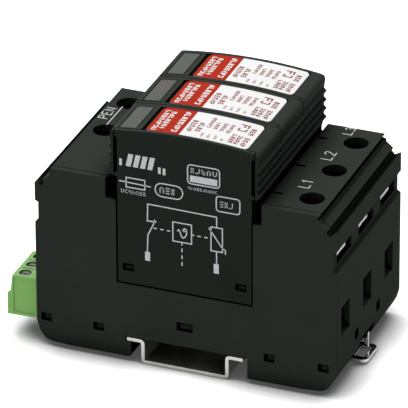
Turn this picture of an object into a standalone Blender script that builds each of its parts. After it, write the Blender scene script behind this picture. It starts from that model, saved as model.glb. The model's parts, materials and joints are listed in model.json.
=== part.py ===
"""A plug-in surge arrester for three phases, clipped on a short piece of top-hat rail.

A housing three modules wide carries one pull-out plug for each phase. It has screw terminals at
both ends, a sprung metal foot for the rail, and a small pluggable connector for remote signalling.

Sizes are in millimetres, and MM turns them into metres. X runs along the housing's height, with
the phase terminals at +X. Y runs along the rail, with the removable side cover at -Y. Z points
away from the panel that the rail is screwed to, and the rail's back lies at Z = 0.
"""

import math

import bmesh
import bpy
from mathutils import Matrix, Vector

MM = 0.001

# Clearances
GAP = 0.3
RUN = 0.4

# Modules along the rail
MODULES = 3
PITCH = 17.8
PLUG_GAP = 0.3
WIDTH = MODULES * PITCH
NEAR = -WIDTH / 2
FAR = WIDTH / 2
MODULE_Y = [(index - (MODULES - 1) / 2) * PITCH for index in range(MODULES)]

# Top-hat rail
RAIL_WIDTH = 35.0
RAIL_WEB = 26.4
RAIL_DEPTH = 7.5
RAIL_SHEET = 1.0
RAIL_BEND = 0.9

# Housing
HALF_HEIGHT = 45.0
TOP_Z = 57.0
BOTTOM_Z = 1.4
WALL = 1.8
TOP_WALL = 2.2
FLOOR = 2.0
PARTITION = 1.2
HOOK_GRIP = 1.2
HOOK_GAP = 0.4
RAIL_SEAT = RAIL_DEPTH + GAP
CAVITY_FLOOR = RAIL_SEAT + FLOOR
BASE_NEAR = NEAR + WALL + GAP

# Plugs
PLUG_END_ROOM = 25.0
PLUG_LOW_HALF = HALF_HEIGHT - PLUG_END_ROOM
PLUG_OVERHANG = 2.1
PLUG_HIGH_HALF = PLUG_LOW_HALF + PLUG_OVERHANG
PLUG_HALF = (PITCH - PLUG_GAP) / 2
PLUG_RISE = 17.0
PLUG_WALL = 1.5
PLUG_COVER = 1.2
SHOULDER_LIFT = 1.0
CROWN_TOP = TOP_Z + PLUG_RISE
CROWN_RADIUS = 150.0
CROWN_CORNER = 1.2
GRIP_RIBS = 4
GRIP_DROP = 14.7
GRIP_FIRST = CROWN_TOP - GRIP_DROP
GRIP_PITCH = 2.75
GRIP_HEIGHT = 0.5
GRIP_GROOVE = 0.35
GRIP_FLAT = 0.6
WAIST_DEPTH = 1.0
GRIP_SLOT = 1.1
SLOT_WALL = 0.45
SLOT_DEPTH = 3.6
SLOT_BROW = 3.2
SLOT_STEP = 0.1
NECK_WALL = 1.0
NECK_DEPTH = 5.0
NECK_BROW = 0.2
COVER_BACK = -PLUG_HALF + PLUG_COVER
WINDOW_SHARE = 0.2172
WINDOW_INSET_SHARE = 0.1041
WINDOW_LENGTH = PLUG_HIGH_HALF * WINDOW_SHARE
WINDOW_INSET = PLUG_HIGH_HALF * WINDOW_INSET_SHARE
WINDOW_MARGIN = 2.2
WINDOW_LOW = -PLUG_HIGH_HALF + WINDOW_INSET
WINDOW = (WINDOW_LOW, WINDOW_LOW + WINDOW_LENGTH)
WINDOW_WIDTH = PITCH - 2 * WINDOW_MARGIN
LABEL_GAP_SHARE = 0.095
LABEL_INSET_SHARE = 0.181
LABEL_GAP = PLUG_HIGH_HALF * LABEL_GAP_SHARE
LABEL_INSET = PLUG_HIGH_HALF * LABEL_INSET_SHARE
LABEL_MARGIN = 1.75
LABEL = (WINDOW[1] + LABEL_GAP, PLUG_HIGH_HALF - LABEL_INSET)
LABEL_WIDTH = PITCH - 2 * LABEL_MARGIN
LABEL_SHEET = 0.3

# Well that holds the plugs
WELL_FLOOR = 24.8
STEP_DROP = 5.8
STEP_Z = TOP_Z - STEP_DROP
STEP_SLOPE = 0.4
WELL_LOW_HALF = PLUG_LOW_HALF + GAP
WELL_GAP_LEFT = 1.3
WELL_GAP_RIGHT = 0.8
WELL_LEFT = PLUG_HIGH_HALF + WELL_GAP_LEFT
WELL_RIGHT = PLUG_HIGH_HALF + WELL_GAP_RIGHT
PLUG_LOW = WELL_FLOOR + GAP
PLUG_INSIDE = PLUG_LOW + PLUG_WALL
WAIST_SHIFT = 0.8
WAIST_SLOPE = 1.2
WAIST_Z = (STEP_Z + GRIP_FIRST) / 2 + WAIST_SHIFT
RIB_SLOT = 1.1
RIB_SLOT_LENGTH = 3.1
RIB_SLOT_DEPTH = 1.4

# Terminals: comb windows, recessed band, screwdriver holes, wire entries
TERMINAL_INSET = 10.5
TERMINAL_X = HALF_HEIGHT - TERMINAL_INSET
TERMINAL_SHIFT = 0.4
COMB_WIDTH = 11.8
COMB_DROP = 16.0
COMB_LOW = TOP_Z - COMB_DROP
COMB_HEIGHT = 3.6
BAND_UNDER = 1.7
BAND_OVER = 1.6
BAND_LOW = COMB_LOW - BAND_UNDER
BAND_HIGH = COMB_LOW + COMB_HEIGHT + BAND_OVER
BAND_DEPTH = 1.0
BAND_SLOPE = 0.6
DRIVER_HOLE = 7.2
ENTRY_WIDTH = 6.8
ENTRY_SHIFT = -1.1
ENTRY_LOW = 17.5
ENTRY_HEIGHT = 9.2
NOTCH_WIDTH = 2.9
NOTCH_LOW = 10.4
NOTCH_HEIGHT = 3.1
NOTCH_DEPTH = 1.0
NOTCH_SHIFT = -0.3

# Contacts
BLADE_INSET = 8.0
BLADE_X = PLUG_LOW_HALF - BLADE_INSET
BLADE_SHEET = 1.6
BLADE_WIDTH = 6.0
BLADE_CLEARANCE = 3.2
BLADE_LOW = CAVITY_FLOOR + BLADE_CLEARANCE
BLADE_TIP = 0.3
CONTACT_SHEET = 1.2
CONTACT_WIDTH = 8.0
RISER_GAP = 2.5
CONTACT_RISER = WELL_LOW_HALF + WALL + RISER_GAP
LINK_DROP = 4.3
SOCKET_LINK_Z = WELL_FLOOR - LINK_DROP
SOCKET_DEPTH = 1.4
ANVIL_LIFT = 1.3
ANVIL_Z = ENTRY_LOW + ENTRY_HEIGHT + ANVIL_LIFT
COMB_LIFT = 1.55
COMB_Z = COMB_LOW + COMB_LIFT
COMB_END = HALF_HEIGHT - WALL - GAP
ANVIL_SETBACK = 1.4
ANVIL_END = COMB_END - ANVIL_SETBACK
BUSBAR_LAP = 0.2
BUSBAR_DROP = 3.0

# Box clamps and their screws
CLAMP_LENGTH = 10.8
CLAMP_SHEET = 1.2
CLAMP_BASE = 1.5
CLAMP_LOW = ENTRY_LOW - CLAMP_BASE - RUN
CLAMP_NUT = 2.0
NUT_GAP = 1.4
CLAMP_TOP = ANVIL_Z + CONTACT_SHEET / 2 + NUT_GAP + CLAMP_NUT
THREAD_GAP = 0.25
SCREW_RADIUS = 2.4
SCREW_HEAD_RADIUS = 2.95
SCREW_HEAD_HEIGHT = 3.0
DRIVE_SLOT = 0.9
DRIVE_DEPTH = 1.5

# Thermal disconnector inside each plug
VARISTOR_SIDE_GAP = 2.2
VARISTOR_BACK_GAP = 1.5
VARISTOR_LIFT = 8.4
VARISTOR_DROP = 9.2
VARISTOR_HALF = PLUG_LOW_HALF - PLUG_WALL - VARISTOR_SIDE_GAP
VARISTOR_LOW = PLUG_LOW + VARISTOR_LIFT
VARISTOR_HIGH = CROWN_TOP - VARISTOR_DROP
VARISTOR_BACK = PLUG_HALF - PLUG_WALL - VARISTOR_BACK_GAP
VARISTOR_EDGE = 1.0
ARM_PIVOT_LIFT = 3.0
ARM_LEAN = 10.0
ARM_RISE = 15.5
ARM_PIVOT_Z = VARISTOR_LOW + ARM_PIVOT_LIFT
ARM_TIP = (ARM_LEAN - BLADE_X, ARM_PIVOT_Z + ARM_RISE)
ARM_SHEET = 1.2
ARM_WIDTH = 3.4
ARM_SETBACK = 2.9
ARM_GAP = 0.6
PIN_RADIUS = 1.0
SLIDER_SHEET = 1.2
SLIDER_INSET = 0.4
SLIDER_LENGTH = 12.0
SLIDER = (WINDOW[0] + SLIDER_INSET, WINDOW[0] + SLIDER_INSET + SLIDER_LENGTH)
SLIDER_STEM = 1.5
STEM_REACH = 5.0
STEM_SETBACK = 0.8
FLAG_INSET = 0.6

# Sprung foot
FOOT_WIDTH = 10.0
FOOT_SHEET = 1.0
FOOT_LOW = 0.8
FOOT_OUT = 1.6
FOOT_REACH = HALF_HEIGHT + FOOT_OUT
FOOT_EYE_INSET = 2.7
FOOT_EYE_LENGTH = 2.9
FOOT_EYE_WIDTH = 6.2
FOOT_EYE = (HALF_HEIGHT - FOOT_EYE_INSET, HALF_HEIGHT - FOOT_EYE_INSET + FOOT_EYE_LENGTH)
FOOT_STOP_INSET = 6.7
FOOT_STOP_WALL = 2.1
FOOT_STOP = (HALF_HEIGHT - FOOT_STOP_INSET, HALF_HEIGHT - FOOT_STOP_INSET + FOOT_STOP_WALL)
FOOT_RAMP = 2.6
FOOT_RAMP_LENGTH = 2.0
FOOT_INNER_GAP = 1.3
FOOT_INNER = RAIL_WIDTH / 2 + FOOT_INNER_GAP
FOOT_JOG_GAP = 1.2
FOOT_JOG = FOOT_INNER + FOOT_JOG_GAP
FOOT_GRIP = 1.1
FOOT_TONGUE_TIP = RAIL_WIDTH / 2 - FOOT_GRIP
FOOT_TONGUE_Z = RAIL_DEPTH - RAIL_SHEET - RUN - FOOT_SHEET / 2
FOOT_RISE = 1.9
FOOT_PLATE_Z = FOOT_LOW + FOOT_RISE
FOOT_TAB_SETBACK = 3.0
FOOT_TAB = (FOOT_JOG + FOOT_TAB_SETBACK, FOOT_JOG + FOOT_TAB_SETBACK + FOOT_SHEET)
FOOT_TAB_WIDTH = 4.0
FOOT_CHANNEL_DROP = 0.2
FOOT_CHANNEL_TOP = RAIL_SEAT - FOOT_CHANNEL_DROP
FOOT_TAB_GAP = 0.6
FOOT_TAB_TOP = FOOT_CHANNEL_TOP - FOOT_TAB_GAP
FOOT_LEDGE = 1.0
LUG_HEIGHT = 4.6
LUG_SETBACK = 1.1
FOOT_CORNER = 1.8
SHOULDER_REACH = 7.7
SHOULDER_LENGTH = 1.2
SHOULDER_INSET = 4.9
SPRING_WIRE = 0.6
SPRING_RADIUS = 1.4
SPRING_TURNS = 7
SPRING_STEPS = 8

# Remote signalling
POLES = 3
POLE_ROOM = 2.56
POLE_PITCH = (PITCH - POLE_ROOM) / POLES
CONNECTOR_SIDE = 1.5
CONNECTOR_LENGTH = 9.6
NOSE_LENGTH = 8.3
NOSE_FACE = -HALF_HEIGHT - GAP
NOSE_END = NOSE_FACE + NOSE_LENGTH
NOSE_LIFT = 1.6
NOSE_HEIGHT = 7.6
NOSE_LOW = CAVITY_FLOOR + NOSE_LIFT
NOSE_HIGH = NOSE_LOW + NOSE_HEIGHT
CONNECTOR_UNDER = 4.3
CONNECTOR_OVER = 1.0
CONNECTOR_LOW = NOSE_LOW - CONNECTOR_UNDER
CONNECTOR_HIGH = NOSE_HIGH + CONNECTOR_OVER
CONNECTOR_WALL = 1.4
SIGNAL_HEAD_DROP = 0.5
PANEL_DEPTH = 0.25
POLE_GROOVE = 0.4
PIN_SIDE = 1.0
PIN_LENGTH = 4.0
HEADER_ROOM = 3.4
HEADER_END = NOSE_END + HEADER_ROOM
HEADER_WALL = 0.6
HEADER_BACK = 1.5
BOARD_SHEET = 1.6
BOARD_DROP = 13.0
BOARD_HIGH = TOP_Z - BOARD_DROP
SIGNAL_SCREW_INSET = 4.7
SIGNAL_SCREW_X = NOSE_FACE - SIGNAL_SCREW_INSET
SIGNAL_SCREW_RADIUS = 0.8
SIGNAL_HEAD_RADIUS = 1.4
SIGNAL_CHAMBER = 3.9
SIGNAL_CHAMBER_HEIGHT = 6.8
SIGNAL_CLAMP_LENGTH = 4.4
SIGNAL_CLAMP_WIDTH = 3.3
SIGNAL_CLAMP_MOUTH = 2.3
SIGNAL_LIFT = 1.2
BAR_INSET = 2.0
BAR_END = -PLUG_LOW_HALF + BAR_INSET
BAR_WIDTH = 2.5
BAR = (BAR_END - BAR_WIDTH, BAR_END)
BAR_LIFT = 3.8
BAR_HEIGHT = 2.4
BAR_LOW = CAVITY_FLOOR + BAR_LIFT
BAR_HIGH = BAR_LOW + BAR_HEIGHT
BAR_TRAVEL = 1.5
SWITCH_WIDTH = 7.0
SWITCH_BELOW = 1.6
SWITCH_ABOVE = 2.0
PLUNGER_SHOULDER = 0.9
PLUNGER_WIDTH = 2.0
PLUNGER_HEIGHT = 1.5
PLUNGER_REACH = 4.1
PEG = 1.5
PEG_SIDE = 6.0
PEG_DIP = 1.8

# Snap windows: low x, high x, low z, high z
SNAP_LENGTH = 3.2
SNAP_LIFT = 0.2
SNAP_LOW = RAIL_SEAT + SNAP_LIFT
SNAP_HIGH = CAVITY_FLOOR + 0.7
SNAP_ENDS = (-HALF_HEIGHT + 1.4, HALF_HEIGHT - 5.1)
SNAP_FEET = (-27.7, 23.8)
MIDDLE_SNAP_LENGTH = 4.9
MIDDLE_SNAP_HEIGHT = 2.7
MIDDLE_SNAP = CAVITY_FLOOR + 2.9
HOUSING_SNAPS = (
    (SNAP_ENDS[0], SNAP_ENDS[0] + SNAP_LENGTH, SNAP_LOW, SNAP_HIGH),
    (SNAP_FEET[0], SNAP_FEET[0] + SNAP_LENGTH, SNAP_LOW, SNAP_HIGH),
    (-MIDDLE_SNAP_LENGTH / 2, MIDDLE_SNAP_LENGTH / 2, MIDDLE_SNAP, MIDDLE_SNAP + MIDDLE_SNAP_HEIGHT),
    (SNAP_FEET[1], SNAP_FEET[1] + SNAP_LENGTH, SNAP_LOW, SNAP_HIGH),
    (SNAP_ENDS[1], SNAP_ENDS[1] + SNAP_LENGTH, SNAP_LOW, SNAP_HIGH),
)
PLUG_SNAP_LENGTH = 3.4
PLUG_SNAP_HEIGHT = 2.3
PLUG_SNAP_INSET = 1.4
PLUG_SNAP_LOW = PLUG_LOW + 3.75
PLUG_SNAP_HIGH = PLUG_SNAP_LOW + PLUG_SNAP_HEIGHT
PLUG_SNAP_OUT = PLUG_LOW_HALF - PLUG_SNAP_INSET
PLUG_SNAPS = (
    (-PLUG_SNAP_OUT, -PLUG_SNAP_OUT + PLUG_SNAP_LENGTH, PLUG_SNAP_LOW, PLUG_SNAP_HIGH),
    (PLUG_SNAP_OUT - PLUG_SNAP_LENGTH, PLUG_SNAP_OUT, PLUG_SNAP_LOW, PLUG_SNAP_HIGH),
)
HOOK_NOSE = 0.8
HOOK_RECESS = 0.9
COVER_WELL_ROOM = 0.2

PARTS = "surge_arrester"
CUTTERS = "cutters"


def fresh_scene():
    """Empties the scene and makes the two collections."""
    for obj in list(bpy.data.objects):
        bpy.data.objects.remove(obj)
    for name in (PARTS, CUTTERS):
        bpy.context.scene.collection.children.link(bpy.data.collections.new(name))


def finish(name, colour, roughness, metallic=0.0):
    """A Principled material."""
    material = bpy.data.materials.new(name)
    material.use_nodes = True
    shader = material.node_tree.nodes["Principled BSDF"]
    shader.inputs["Base Color"].default_value = (*colour, 1.0)
    shader.inputs["Roughness"].default_value = roughness
    shader.inputs["Metallic"].default_value = metallic
    return material


def add(name, mesh):
    obj = bpy.data.objects.new(name, mesh)
    bpy.data.collections[PARTS].objects.link(obj)
    return obj


def box(name, x, y, z):
    """A block between two values on each axis."""
    ends = [Vector(corner) * MM for corner in zip(x, y, z)]
    size = Matrix.Diagonal(ends[1] - ends[0]).to_4x4()
    shape = bmesh.new()
    bmesh.ops.create_cube(shape, size=1.0, matrix=Matrix.Translation(sum(ends, Vector()) / 2) @ size)
    mesh = bpy.data.meshes.new(name)
    shape.to_mesh(mesh)
    shape.free()
    return add(name, mesh)


def rod(name, centre, radius, length, axis="Z", sides=16):
    """A round bar about its centre, along an axis."""
    place = Matrix.Translation(Vector(centre) * MM)
    if axis == "Y":
        place = place @ Matrix.Rotation(math.pi / 2, 4, "X")
    shape = bmesh.new()
    bmesh.ops.create_cone(
        shape,
        cap_ends=True,
        segments=sides,
        radius1=radius * MM,
        radius2=radius * MM,
        depth=length * MM,
        matrix=place,
    )
    mesh = bpy.data.meshes.new(name)
    shape.to_mesh(mesh)
    shape.free()
    mesh.shade_smooth()
    mesh.set_sharp_from_angle(angle=math.radians(35))
    return add(name, mesh)


def mesh_of(name, curve_object):
    """The welded mesh of a curve object, which is then removed."""
    bpy.context.view_layer.update()
    graph = bpy.context.evaluated_depsgraph_get()
    mesh = bpy.data.meshes.new_from_object(curve_object.evaluated_get(graph))
    mesh.name = name
    shape = bmesh.new()
    shape.from_mesh(mesh)
    bmesh.ops.remove_doubles(shape, verts=shape.verts, dist=1e-7)
    bmesh.ops.dissolve_limit(shape, angle_limit=math.radians(0.1), verts=shape.verts, edges=shape.edges)
    shape.to_mesh(mesh)
    shape.free()
    solid = add(name, mesh)
    solid.matrix_world = curve_object.matrix_world
    bpy.data.objects.remove(curve_object)
    return solid


def poly_curve(name, points, cyclic):
    curve = bpy.data.curves.new(name, "CURVE")
    spline = curve.splines.new("POLY")
    spline.points.add(len(points) - 1)
    for point, place in zip(spline.points, points):
        point.co = (*(value * MM for value in place), 1.0)
    spline.use_cyclic_u = cyclic
    return curve


def prism(name, outline, y):
    """An outline of (x, z) points, extruded between two values of y."""
    curve = poly_curve(name, [(x, z, 0.0) for x, z in outline], True)
    curve.dimensions = "2D"
    curve.fill_mode = "BOTH"
    curve.extrude = (y[1] - y[0]) / 2 * MM
    flat = bpy.data.objects.new(name + "_outline", curve)
    bpy.data.collections[PARTS].objects.link(flat)
    flat.matrix_world = Matrix.Translation((0, sum(y) / 2 * MM, 0)) @ Matrix.Rotation(math.pi / 2, 4, "X")
    return mesh_of(name, flat)


def plate(name, path, thickness, y):
    """A sheet bent along a path of (x, z) points, with mitred bends."""
    left, right = [], []
    for index, point in enumerate(path):
        here = Vector(point)
        before = (here - Vector(path[index - 1])).normalized() if index else None
        after = (Vector(path[index + 1]) - here).normalized() if index < len(path) - 1 else None
        along = ((before or after) + (after or before)).normalized()
        across = Vector((-along.y, along.x))
        reach = thickness / 2 / max(across.dot(Vector((-(before or after).y, (before or after).x))), 0.3)
        left.append(tuple(here + across * reach))
        right.append(tuple(here - across * reach))
    return prism(name, left + right[::-1], y)


def slab(name, outline, z):
    """An outline of (x, y) points, extruded between two heights."""
    curve = poly_curve(name, [(x, y, 0.0) for x, y in outline], True)
    curve.dimensions = "2D"
    curve.fill_mode = "BOTH"
    curve.extrude = (z[1] - z[0]) / 2 * MM
    flat = bpy.data.objects.new(name + "_outline", curve)
    bpy.data.collections[PARTS].objects.link(flat)
    flat.matrix_world = Matrix.Translation((0, 0, sum(z) / 2 * MM))
    return mesh_of(name, flat)


def arc(centre, radius, start, end, steps):
    """Points on an arc, in degrees from +X towards +Z."""
    angles = [math.radians(start + (end - start) * step / steps) for step in range(steps + 1)]
    return [(centre[0] + radius * math.cos(a), centre[1] + radius * math.sin(a)) for a in angles]


def bend(start, corner, end, steps=4):
    """Points on a smooth bend that heads for a corner and turns away from it."""
    points = []
    for step in range(steps + 1):
        t = step / steps
        points.append(tuple(
            (1 - t) ** 2 * a + 2 * t * (1 - t) * b + t ** 2 * c for a, b, c in zip(start, corner, end)
        ))
    return points


def mirrored(points):
    """The same points at -X, in the order that goes on round the outline."""
    return [(-x, z) for x, z in reversed(points)]


def boolean(target, tools, operation):
    for tool in tools:
        modifier = target.modifiers.new(operation.lower(), "BOOLEAN")
        modifier.operation = operation
        modifier.solver = "EXACT"
        modifier.object = tool
        tool.hide_render = True
        tool.display_type = "WIRE"
        bpy.data.collections[CUTTERS].objects.link(tool)
        bpy.data.collections[PARTS].objects.unlink(tool)


def cut(target, *tools):
    boolean(target, tools, "DIFFERENCE")


def join(target, *tools):
    boolean(target, tools, "UNION")


def pivot(name, point, parent=None):
    """An empty on a joint's axis."""
    empty = bpy.data.objects.new(name, None)
    bpy.data.collections[PARTS].objects.link(empty)
    base = parent.matrix_world.translation if parent else Vector()
    empty.parent = parent
    empty.location = Vector(point) * MM - base
    bpy.context.view_layer.update()
    return empty


def carry(obj, material, joint=None):
    """Gives a piece its material and hangs it on its joint's empty."""
    obj.data.materials.append(material)
    if joint is None:
        return obj
    obj.data.transform(Matrix.Translation(-joint.matrix_world.translation) @ obj.matrix_world)
    obj.parent = joint
    obj.matrix_basis = Matrix()
    return obj


def terminal_y(index):
    return MODULE_Y[index] + TERMINAL_SHIFT


def about(middle, width):
    return (middle - width / 2, middle + width / 2)


def crown(x, below=0.0):
    """Height of the plug's crowned top at x."""
    return CROWN_TOP - below - CROWN_RADIUS + math.sqrt(CROWN_RADIUS ** 2 - x ** 2)


def crown_line(start, end, below=0.0, steps=10):
    xs = [start + (end - start) * step / steps for step in range(steps + 1)]
    return [(x, crown(x, below)) for x in xs]


def housing_end():
    """Outline of the +X end, from the foot up to the top."""
    h, t, b = HALF_HEIGHT, TOP_Z, BOTTOM_Z
    foot = [(h - 10.0, b)] + bend((h - 4.4, b + 0.4), (h - 1.2, b + 0.7), (h, b + 6.6))
    band = [
        (h, BAND_LOW),
        (h - BAND_DEPTH, BAND_LOW + BAND_SLOPE),
        (h - BAND_DEPTH, BAND_HIGH - BAND_SLOPE),
        (h, BAND_HIGH),
    ]
    lip = [(h, t - 5.4), (h - 0.2, t - 5.0), (h - 1.9, t - 6.0), (h - 2.8, t - 4.9), (h - 2.4, t - 4.0)]
    groove = [(h - 4.5, t - 2.3), (h - 4.4, t - 1.5), (h - 5.6, t - 1.2), (h - 4.9, t)]
    return foot + band + lip + groove


def housing_outline():
    hook_tip = RAIL_WIDTH / 2 - HOOK_GRIP
    hook_root = RAIL_WIDTH / 2 + HOOK_GAP
    hook_top = RAIL_DEPTH - RAIL_SHEET - GAP
    seat = [
        (-hook_tip - 0.6, BOTTOM_Z),
        (-hook_tip, BOTTOM_Z + 0.5),
        (-hook_tip, hook_top),
        (-hook_root, hook_top),
        (-hook_root, RAIL_SEAT),
        (FOOT_INNER, RAIL_SEAT),
        (FOOT_INNER, BOTTOM_Z),
    ]
    return seat + housing_end() + mirrored(housing_end())


def well_outline(room=0.0):
    """Outline of the well, or of a hole that leaves some more room round the plugs."""
    above = CROWN_TOP + 10.0
    low_half, floor, step = WELL_LOW_HALF + room, WELL_FLOOR - room, STEP_Z - room
    return [
        (-low_half, floor),
        (low_half, floor),
        (low_half, step - STEP_SLOPE),
        (WELL_RIGHT + room, step),
        (WELL_RIGHT + room, above),
        (-WELL_LEFT - room, above),
        (-WELL_LEFT - room, step),
        (-low_half, step - STEP_SLOPE),
    ]


def cavity_outline(inset=0.0):
    """Inside of the housing around the well. An inset gives the outline of a plate that fits it."""
    side = HALF_HEIGHT - WALL - inset
    roof = TOP_Z - TOP_WALL - inset
    step = STEP_Z - WALL - inset
    low = WELL_LOW_HALF + WALL + inset
    under = WELL_FLOOR - WALL - inset

    def half(high):
        return [
            (side, CAVITY_FLOOR + inset),
            (side, TOP_Z - 8.0 - inset),
            (side - 2.0, TOP_Z - 6.4 - inset),
            (side - 2.0, TOP_Z - 5.4 - inset),
            (side - 4.8, TOP_Z - 3.4 - inset),
            (side - 4.8, roof),
            (high + WALL + inset, roof),
            (high + WALL + inset, step),
            (low, step),
            (low, under),
        ]

    return half(WELL_RIGHT) + mirrored(half(WELL_LEFT))


def snap_hook(name, window, seat_y, front_y, root):
    """A hook standing in a snap window, on a root that reaches back to the wall that carries it."""
    x = (window[0] + HOOK_NOSE, window[1] - GAP)
    nose = box(name, x, (front_y, seat_y + 1.0), (window[2] + GAP, window[3] - HOOK_NOSE))
    stalk = box(name + "_root", root[0], (seat_y + 0.2, seat_y + 1.8), root[1])
    return stalk, nose


def make_rail(metal):
    """Top-hat rail: its web at the back, and two flanges that the housing grips."""
    web = RAIL_WEB / 2 - RAIL_SHEET / 2
    edge = RAIL_WIDTH / 2
    low, high = RAIL_SHEET / 2, RAIL_DEPTH - RAIL_SHEET / 2
    half = [(edge, high)]
    half += bend((web + RAIL_BEND, high), (web, high), (web, high - RAIL_BEND), 3)
    half += bend((web, low + RAIL_BEND), (web, low), (web - RAIL_BEND, low), 3)
    slide = pivot("rail_slide", (0, 0, 0))
    carry(plate("din_rail", half + mirrored(half), RAIL_SHEET, (NEAR, FAR)), metal, slide)


def make_base(plastic):
    """Moulded tub that is open towards the side cover."""
    base = prism("base_body", housing_outline(), (BASE_NEAR, FAR))
    cut(base, prism("cavity", cavity_outline(), (NEAR, FAR - WALL)))
    cut(base, prism("well", well_outline(), (NEAR - 5.0, FAR + 5.0)))
    for index in range(MODULES):
        y = terminal_y(index)
        for side in (-1, 1):
            if side < 0 and index == 0:
                continue
            cut(base, *terminal_openings(side, y))
        slots = [
            box("blade_slot", about(x, BLADE_SHEET + 2 * GAP), about(MODULE_Y[index], BLADE_WIDTH + 2 * GAP),
                (WELL_FLOOR - WALL - 1.0, WELL_FLOOR + 1.0))
            for x in (-BLADE_X, BLADE_X)
        ]
        slots.append(box("peg_slot", about(peg_x(), PEG + 2 * GAP),
                         about(MODULE_Y[index] + PEG_SIDE, PEG + 2 * GAP),
                         (WELL_FLOOR - WALL - 1.0, WELL_FLOOR + 1.0)))
        slots.append(box("rib_slot", (WELL_RIGHT - 1.0, WELL_RIGHT + RIB_SLOT_LENGTH),
                         about(MODULE_Y[index], RIB_SLOT), (TOP_Z - RIB_SLOT_DEPTH, TOP_Z + 1.0)))
        cut(base, *slots)
    for index in range(MODULES - 1):
        seam = MODULE_Y[index] + PITCH / 2
        cut(base, box("notch", (HALF_HEIGHT - NOTCH_DEPTH, HALF_HEIGHT + 1.0),
                      about(seam + NOTCH_SHIFT, NOTCH_WIDTH), (NOTCH_LOW, NOTCH_LOW + NOTCH_HEIGHT)))
    cut(base, box("signal_opening", (-HALF_HEIGHT - 1.0, WALL - HALF_HEIGHT + 0.5),
                  (NEAR, connector_y()[1]), (NOSE_LOW - 2 * GAP, NOSE_HIGH + 2 * GAP)))
    cut(base, *foot_channel())
    for index, window in enumerate(HOUSING_SNAPS):
        root = ((window[0] + 2 * GAP, window[1] - 2 * GAP), (CAVITY_FLOOR - 1.0, window[3] - 2 * GAP))
        join(base, *snap_hook(f"snap_hook_{index + 1}", window, BASE_NEAR, NEAR + HOOK_RECESS, root))
    return carry(base, plastic)


def terminal_openings(side, y):
    """Driver hole, wire entry and comb window of one terminal."""
    hole = rod("driver_hole", (side * TERMINAL_X, y, TOP_Z), DRIVER_HOLE / 2, 3 * TOP_WALL, sides=24)
    wall = sorted((side * (HALF_HEIGHT - WALL - 0.5), side * (HALF_HEIGHT + 1.0)))
    entry = box("wire_entry", wall, about(y + ENTRY_SHIFT, ENTRY_WIDTH),
                (ENTRY_LOW, ENTRY_LOW + ENTRY_HEIGHT))
    comb = box("comb_window", wall, about(y, COMB_WIDTH), (COMB_LOW, COMB_LOW + COMB_HEIGHT))
    return hole, entry, comb


def foot_channel():
    """Room for the sprung foot: a slot with two ledges, a spring chamber and an open outer end."""
    half = FOOT_WIDTH / 2 + RUN
    ledge = FOOT_PLATE_Z - FOOT_SHEET / 2 - GAP
    start = FOOT_INNER - 1.0
    outer = FOOT_STOP[1]
    wide = (-half, half)
    chamber = box("spring_chamber", (start, FOOT_STOP[0]), wide, (ledge, FOOT_CHANNEL_TOP))
    narrow = (-half + FOOT_LEDGE, half - FOOT_LEDGE)
    slot = box("foot_slot", (start, outer + 1.0), narrow, (-1.0, ledge + 0.5))
    passage = box("foot_passage", (FOOT_STOP[0] - 5.0, outer + 1.0), wide, (-1.0, FOOT_PLATE_Z + 1.0))
    pocket = box("foot_pocket", (outer, HALF_HEIGHT + 2.0), wide, (-1.0, BOTTOM_Z + 7.0))
    return chamber, slot, passage, pocket


def make_cover(plastic):
    """Side cover that snaps over the base's hooks, cut out around the plugs."""
    cover = prism("side_cover", housing_outline(), (NEAR, NEAR + WALL))
    cut(cover, prism("cover_well", well_outline(COVER_WELL_ROOM), (NEAR - 1.0, NEAR + WALL + 1.0)))
    for x0, x1, z0, z1 in HOUSING_SNAPS:
        cut(cover, box("snap_window", (x0, x1), (NEAR - 1.0, NEAR + WALL + 1.0), (z0, z1)))
    carry(cover, plastic)


def make_partitions(plastic):
    """Plates between the modules, notched for the common bar and the signal bar."""
    for index in range(MODULES - 1):
        y = about(MODULE_Y[index] + PITCH / 2, PARTITION)
        wide = (y[0] - 1.0, y[1] + 1.0)
        wall = prism(f"partition_{index + 1}", cavity_outline(GAP), y)
        riser = CONTACT_RISER + CONTACT_SHEET / 2 + RUN
        cut(wall, box("bar_notch", (-riser, -WELL_LOW_HALF - WALL + 1.0), wide,
                      (SOCKET_LINK_Z - CONTACT_SHEET / 2 - RUN, ANVIL_Z + 1.0)))
        cut(wall, box("signal_notch", (BAR[0] - BAR_TRAVEL - RUN, BAR[1] + RUN), wide,
                      (BAR_LOW - RUN, BAR_HIGH + RUN)))
        carry(wall, plastic)


def socket_path(side, start):
    """Path of a contact from its start to the two leaves that pinch a plug's blade."""
    leaf = (BLADE_SHEET + CONTACT_SHEET) / 2 + GAP
    low = BLADE_LOW - SOCKET_DEPTH
    path = start + [
        (CONTACT_RISER, SOCKET_LINK_Z),
        (BLADE_X + leaf, SOCKET_LINK_Z),
        (BLADE_X + leaf, low),
        (BLADE_X - leaf, low),
        (BLADE_X - leaf, WELL_FLOOR - WALL - 0.8),
    ]
    return [(side * x, z) for x, z in path]


def comb_strip(name, side, y):
    """Upper arm of a contact, which reaches the comb window."""
    lap = ANVIL_Z - CONTACT_SHEET / 3
    path = [(side * COMB_END, COMB_Z), (side * CONTACT_RISER, COMB_Z), (side * CONTACT_RISER, lap)]
    return plate(name, path, CONTACT_SHEET, y)


def shank_hole(side, y):
    return rod("shank_hole", (side * TERMINAL_X, y, COMB_Z), SCREW_RADIUS + RUN, 3.0)


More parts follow.
